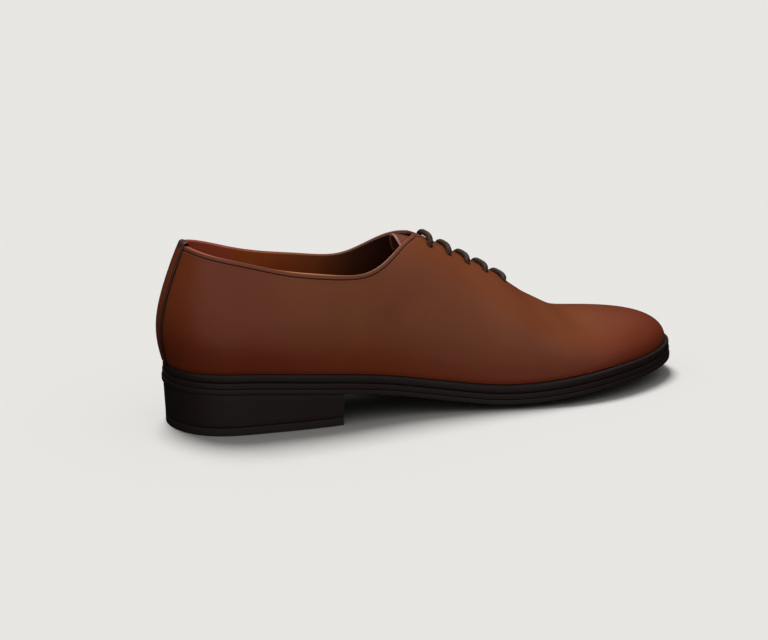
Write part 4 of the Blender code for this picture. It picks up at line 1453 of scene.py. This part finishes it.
def make_floor():
    """Wide sweep of pale paper, seen only by the camera: it throws no light on the shoe."""
    reach = FLOOR_REACH
    corners = [(-reach, -reach, 0), (reach, -reach, 0), (reach, reach, 0), (-reach, reach, 0)]
    mesh = bpy.data.meshes.new("floor")
    mesh.from_pydata(corners, [], [(0, 1, 2, 3)])
    floor = bpy.data.objects.new("floor", mesh)
    bpy.context.scene.collection.objects.link(floor)
    dress(floor, finish("white paper", paint("paper"), 1.0, specular=0.0)[0])
    floor.visible_glossy = False
    floor.visible_diffuse = False
    floor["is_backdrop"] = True


def make_world():
    """Soft studio: a bright dome overhead that fades to a dark horizon, brighter in
    front of the shoe than behind it and brighter at the toe than at the heel."""
    world = bpy.data.worlds.new("studio")
    bpy.context.scene.world = world
    world.use_nodes = True
    tree = world.node_tree
    direction = node(tree, "ShaderNodeTexCoord").outputs["Generated"]
    across, deep, up = node(tree, "ShaderNodeSeparateXYZ", {0: direction}).outputs
    rise = graded(tree, up, *SKY_RISE, interpolation_type="SMOOTHSTEP")
    depth = graded(tree, deep, *SKY_DEPTH)
    side = graded(tree, across, *SKY_SIDE)
    both = node(tree, "ShaderNodeMath", {0: depth, 1: side}, operation="MULTIPLY").outputs[0]
    strength = node(tree, "ShaderNodeMath", {0: rise, 1: both}, operation="MULTIPLY").outputs[0]
    background = tree.nodes["Background"]
    background.inputs["Color"].default_value = SKY_COLOUR
    tree.links.new(strength, background.inputs["Strength"])


def make_lamps():
    """Wide lamps: a softbox overhead and a little behind, which leaves a dark shadow under
    the arch, and a fill beside the camera for the shoe alone."""
    shoe = bpy.data.collections.new("shoe")
    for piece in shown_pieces():
        shoe.objects.link(piece)
    for name, strength, angle, aim, shoe_alone in LAMPS:
        data = bpy.data.lights.new(name, "SUN")
        data.energy = strength
        data.angle = math.radians(angle)
        lamp = bpy.data.objects.new(name, data)
        lamp.rotation_euler = Vector(aim).to_track_quat("-Z", "Y").to_euler()
        bpy.context.scene.collection.objects.link(lamp)
        if shoe_alone:
            lamp.light_linking.receiver_collection = shoe
        lamp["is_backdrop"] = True


def make_camera():
    """Camera at the photograph's angle, with no shift and no roll."""
    data = bpy.data.cameras.new("photo_camera")
    data.sensor_width = SENSOR
    data.lens = FOCAL_PIXELS * SENSOR / IMAGE_WIDTH
    data.clip_end = 200.0
    camera = bpy.data.objects.new("photo_camera", data)
    camera.location = CAMERA_PLACE
    camera.rotation_euler = (math.radians(90 - CAMERA_DOWN), 0, math.radians(-CAMERA_YAW))
    bpy.context.scene.collection.objects.link(camera)
    bpy.context.scene.camera = camera
    camera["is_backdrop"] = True


def make_stage():
    """Floor, light, camera and a plain view of the colours."""
    make_floor()
    make_world()
    make_lamps()
    make_camera()
    view = bpy.context.scene.view_settings
    view.view_transform = "Standard"
    view.look = "None"


def length(name, description, default):
    """Property of a size in metres."""
    return bpy.props.FloatProperty(name=name, description=description, default=default,
                                   unit="LENGTH", subtype="DISTANCE", precision=5)


def colour(name, description, hex_colour):
    """Property of a colour, given as sRGB hex and kept linear."""
    return bpy.props.FloatVectorProperty(name=name, description=description, default=linear(hex_colour),
                                         subtype="COLOR", size=4, min=0, max=1)


class OxfordSizes(bpy.types.PropertyGroup):
    """Sizes of what the scene adds to the solids."""
    lip_rise: length("Lip rise", "How far the folded edge stands proud", 0.00022)
    groove_depth: length("Groove depth", "Depth of the seam's groove", 0.00032)
    stitch_pitch: length("Stitch pitch", "From one stitch to the next", 0.0023)
    stitch_length: length("Stitch length", "Length of one stitch", 0.0020)
    stitch_width: length("Stitch width", "Thickness of the thread", 0.00044)
    dimple_depth: length("Dimple depth", "Pull of the lace at each hole", 0.00045)
    tuck: length("Tuck", "How far the leather turns in above the welt", 0.00035)
    lace_width: length("Lace width", "Diameter of the lace", 0.0032)
    lift_groove: length("Lift lines", "Depth of the lines between the heel's lifts", 0.000015)


class OxfordColours(bpy.types.PropertyGroup):
    """Colours of the leathers, the lace, the sole and the paper."""
    calf: colour("Calf", "Brown of the upper", "#6C3519")
    calf_light: colour("Calf, light", "Lighter clouds in the polish", "#70391B")
    # dark calf of the strip and the tongue, also the colour of the burnishing and painted shade on the
    # upper
    calf_dark_and_shade: colour("Calf, burnished", "Darker brown low down and at the ends", "#642713")
    edge: colour("Folded edge", "Lip of the topline", "#744431")
    seam: colour("Seam", "Thread and the groove it lies in", "#2C100B")
    # colour of the strip's fold: edge paint and painted shade
    fold: colour("Strip fold", "Fold of the back strip over the collar", "#3A2620")
    lining: colour("Lining", "Tan lining leather", "#984A1E")
    lining_worn: colour("Lining, rubbed", "Rubbed places of the lining", "#A25828")
    # colour of the painted shade on the front of the lining
    lining_shade: colour("Lining, front", "Painted shade on the lining under the instep", "#3A1C0E")
    # colour of the painted highlight on the lining's rim
    lining_rim_highlight: colour("Lining, rim", "Top edge of the lining, a painted highlight", "#A4784A")
    grip: colour("Heel grip", "Smooth brown leather inside the heel", "#A04A32")
    cut_edge: colour("Cut edge", "Raw edge of the tongue", "#8A6A58")
    lace: colour("Lace", "Strands of the lace", "#46301F")
    # colour of the painted shade between the strands of the lace
    lace_hollow_shade: colour("Lace, hollows", "Between the strands", "#1E130C")
    sole: colour("Sole", "Black wax and stain of the sole and the heel", "#211918")
    rubber: colour("Rubber", "Top piece of the heel", "#1F1917")
    paper: colour("Paper", "Floor under the shoe", "#EFEEEB")


class OXFORD_OT_upper(bpy.types.Operator):
    """Makes the one-cut upper of calf"""
    bl_idname = "oxford.upper"
    bl_label = "Upper"
    bl_options = {"REGISTER", "UNDO"}

    def execute(self, context):
        make_upper()
        return {"FINISHED"}


class OXFORD_OT_lining(bpy.types.Operator):
    """Makes the lining with its heel grip"""
    bl_idname = "oxford.lining"
    bl_label = "Lining"
    bl_options = {"REGISTER", "UNDO"}

    def execute(self, context):
        make_lining()
        return {"FINISHED"}


class OXFORD_OT_stitching(bpy.types.Operator):
    """Makes the stitches round the topline and the throat"""
    bl_idname = "oxford.stitching"
    bl_label = "Stitching"
    bl_options = {"REGISTER", "UNDO"}

    def execute(self, context):
        make_stitching()
        return {"FINISHED"}


class OXFORD_OT_back_strip(bpy.types.Operator):
    """Makes the strip over the back seam"""
    bl_idname = "oxford.back_strip"
    bl_label = "Back strip"
    bl_options = {"REGISTER", "UNDO"}

    def execute(self, context):
        make_back_strip()
        return {"FINISHED"}


class OXFORD_OT_tongue(bpy.types.Operator):
    """Makes the tongue"""
    bl_idname = "oxford.tongue"
    bl_label = "Tongue"
    bl_options = {"REGISTER", "UNDO"}

    def execute(self, context):
        make_tongue()
        return {"FINISHED"}


class OXFORD_OT_lace(bpy.types.Operator):
    """Makes the lace, straight across and through the holes"""
    bl_idname = "oxford.lace"
    bl_label = "Lace"
    bl_options = {"REGISTER", "UNDO"}

    def execute(self, context):
        make_lace()
        return {"FINISHED"}


class OXFORD_OT_insole(bpy.types.Operator):
    """Makes the insole with its sock"""
    bl_idname = "oxford.insole"
    bl_label = "Insole"
    bl_options = {"REGISTER", "UNDO"}

    def execute(self, context):
        make_insole()
        return {"FINISHED"}


class OXFORD_OT_welt(bpy.types.Operator):
    """Makes the welt"""
    bl_idname = "oxford.welt"
    bl_label = "Welt"
    bl_options = {"REGISTER", "UNDO"}

    def execute(self, context):
        make_welt()
        return {"FINISHED"}


class OXFORD_OT_sole(bpy.types.Operator):
    """Makes the middle layer and the outsole"""
    bl_idname = "oxford.sole"
    bl_label = "Sole"
    bl_options = {"REGISTER", "UNDO"}

    def execute(self, context):
        make_sole()
        return {"FINISHED"}


class OXFORD_OT_heel(bpy.types.Operator):
    """Makes the stacked heel and its rubber"""
    bl_idname = "oxford.heel"
    bl_label = "Heel"
    bl_options = {"REGISTER", "UNDO"}

    def execute(self, context):
        make_heel()
        return {"FINISHED"}


class OXFORD_OT_stage(bpy.types.Operator):
    """Makes the floor, the light and the camera"""
    bl_idname = "oxford.stage"
    bl_label = "Stage"
    bl_options = {"REGISTER", "UNDO"}

    def execute(self, context):
        make_stage()
        return {"FINISHED"}


class OXFORD_PT_panel(bpy.types.Panel):
    """Buttons for the pieces and the colours they use"""
    bl_label = "Whole cut oxford"
    bl_idname = "OXFORD_PT_panel"
    bl_space_type = "VIEW_3D"
    bl_region_type = "UI"
    bl_category = "Oxford"

    def draw(self, context):
        for step in STEPS:
            self.layout.operator(step.bl_idname)
        for settings in (context.scene.oxford_sizes, context.scene.oxford_colours):
            box = self.layout.box()
            for name in settings.bl_rna.properties.keys():
                if name not in ("rna_type", "name"):
                    box.prop(settings, name)


STEPS = (
    OXFORD_OT_upper,
    OXFORD_OT_lining,
    OXFORD_OT_stitching,
    OXFORD_OT_back_strip,
    OXFORD_OT_tongue,
    OXFORD_OT_lace,
    OXFORD_OT_insole,
    OXFORD_OT_welt,
    OXFORD_OT_sole,
    OXFORD_OT_heel,
    OXFORD_OT_stage,
)
CLASSES = (OxfordSizes, OxfordColours) + STEPS + (OXFORD_PT_panel,)


def register():
    """Registers the classes and hangs the settings on the scene."""
    for part in CLASSES:
        bpy.utils.register_class(part)
    bpy.types.Scene.oxford_sizes = bpy.props.PointerProperty(type=OxfordSizes)
    bpy.types.Scene.oxford_colours = bpy.props.PointerProperty(type=OxfordColours)


def unregister():
    """Takes the settings and the classes away again."""
    del bpy.types.Scene.oxford_sizes
    del bpy.types.Scene.oxford_colours
    for part in reversed(CLASSES):
        bpy.utils.unregister_class(part)


def main():
    """Makes every piece in order."""
    register()
    for step in STEPS:
        group, name = step.bl_idname.split(".")
        getattr(getattr(bpy.ops, group), name)()


if __name__ == "__main__":
    main()
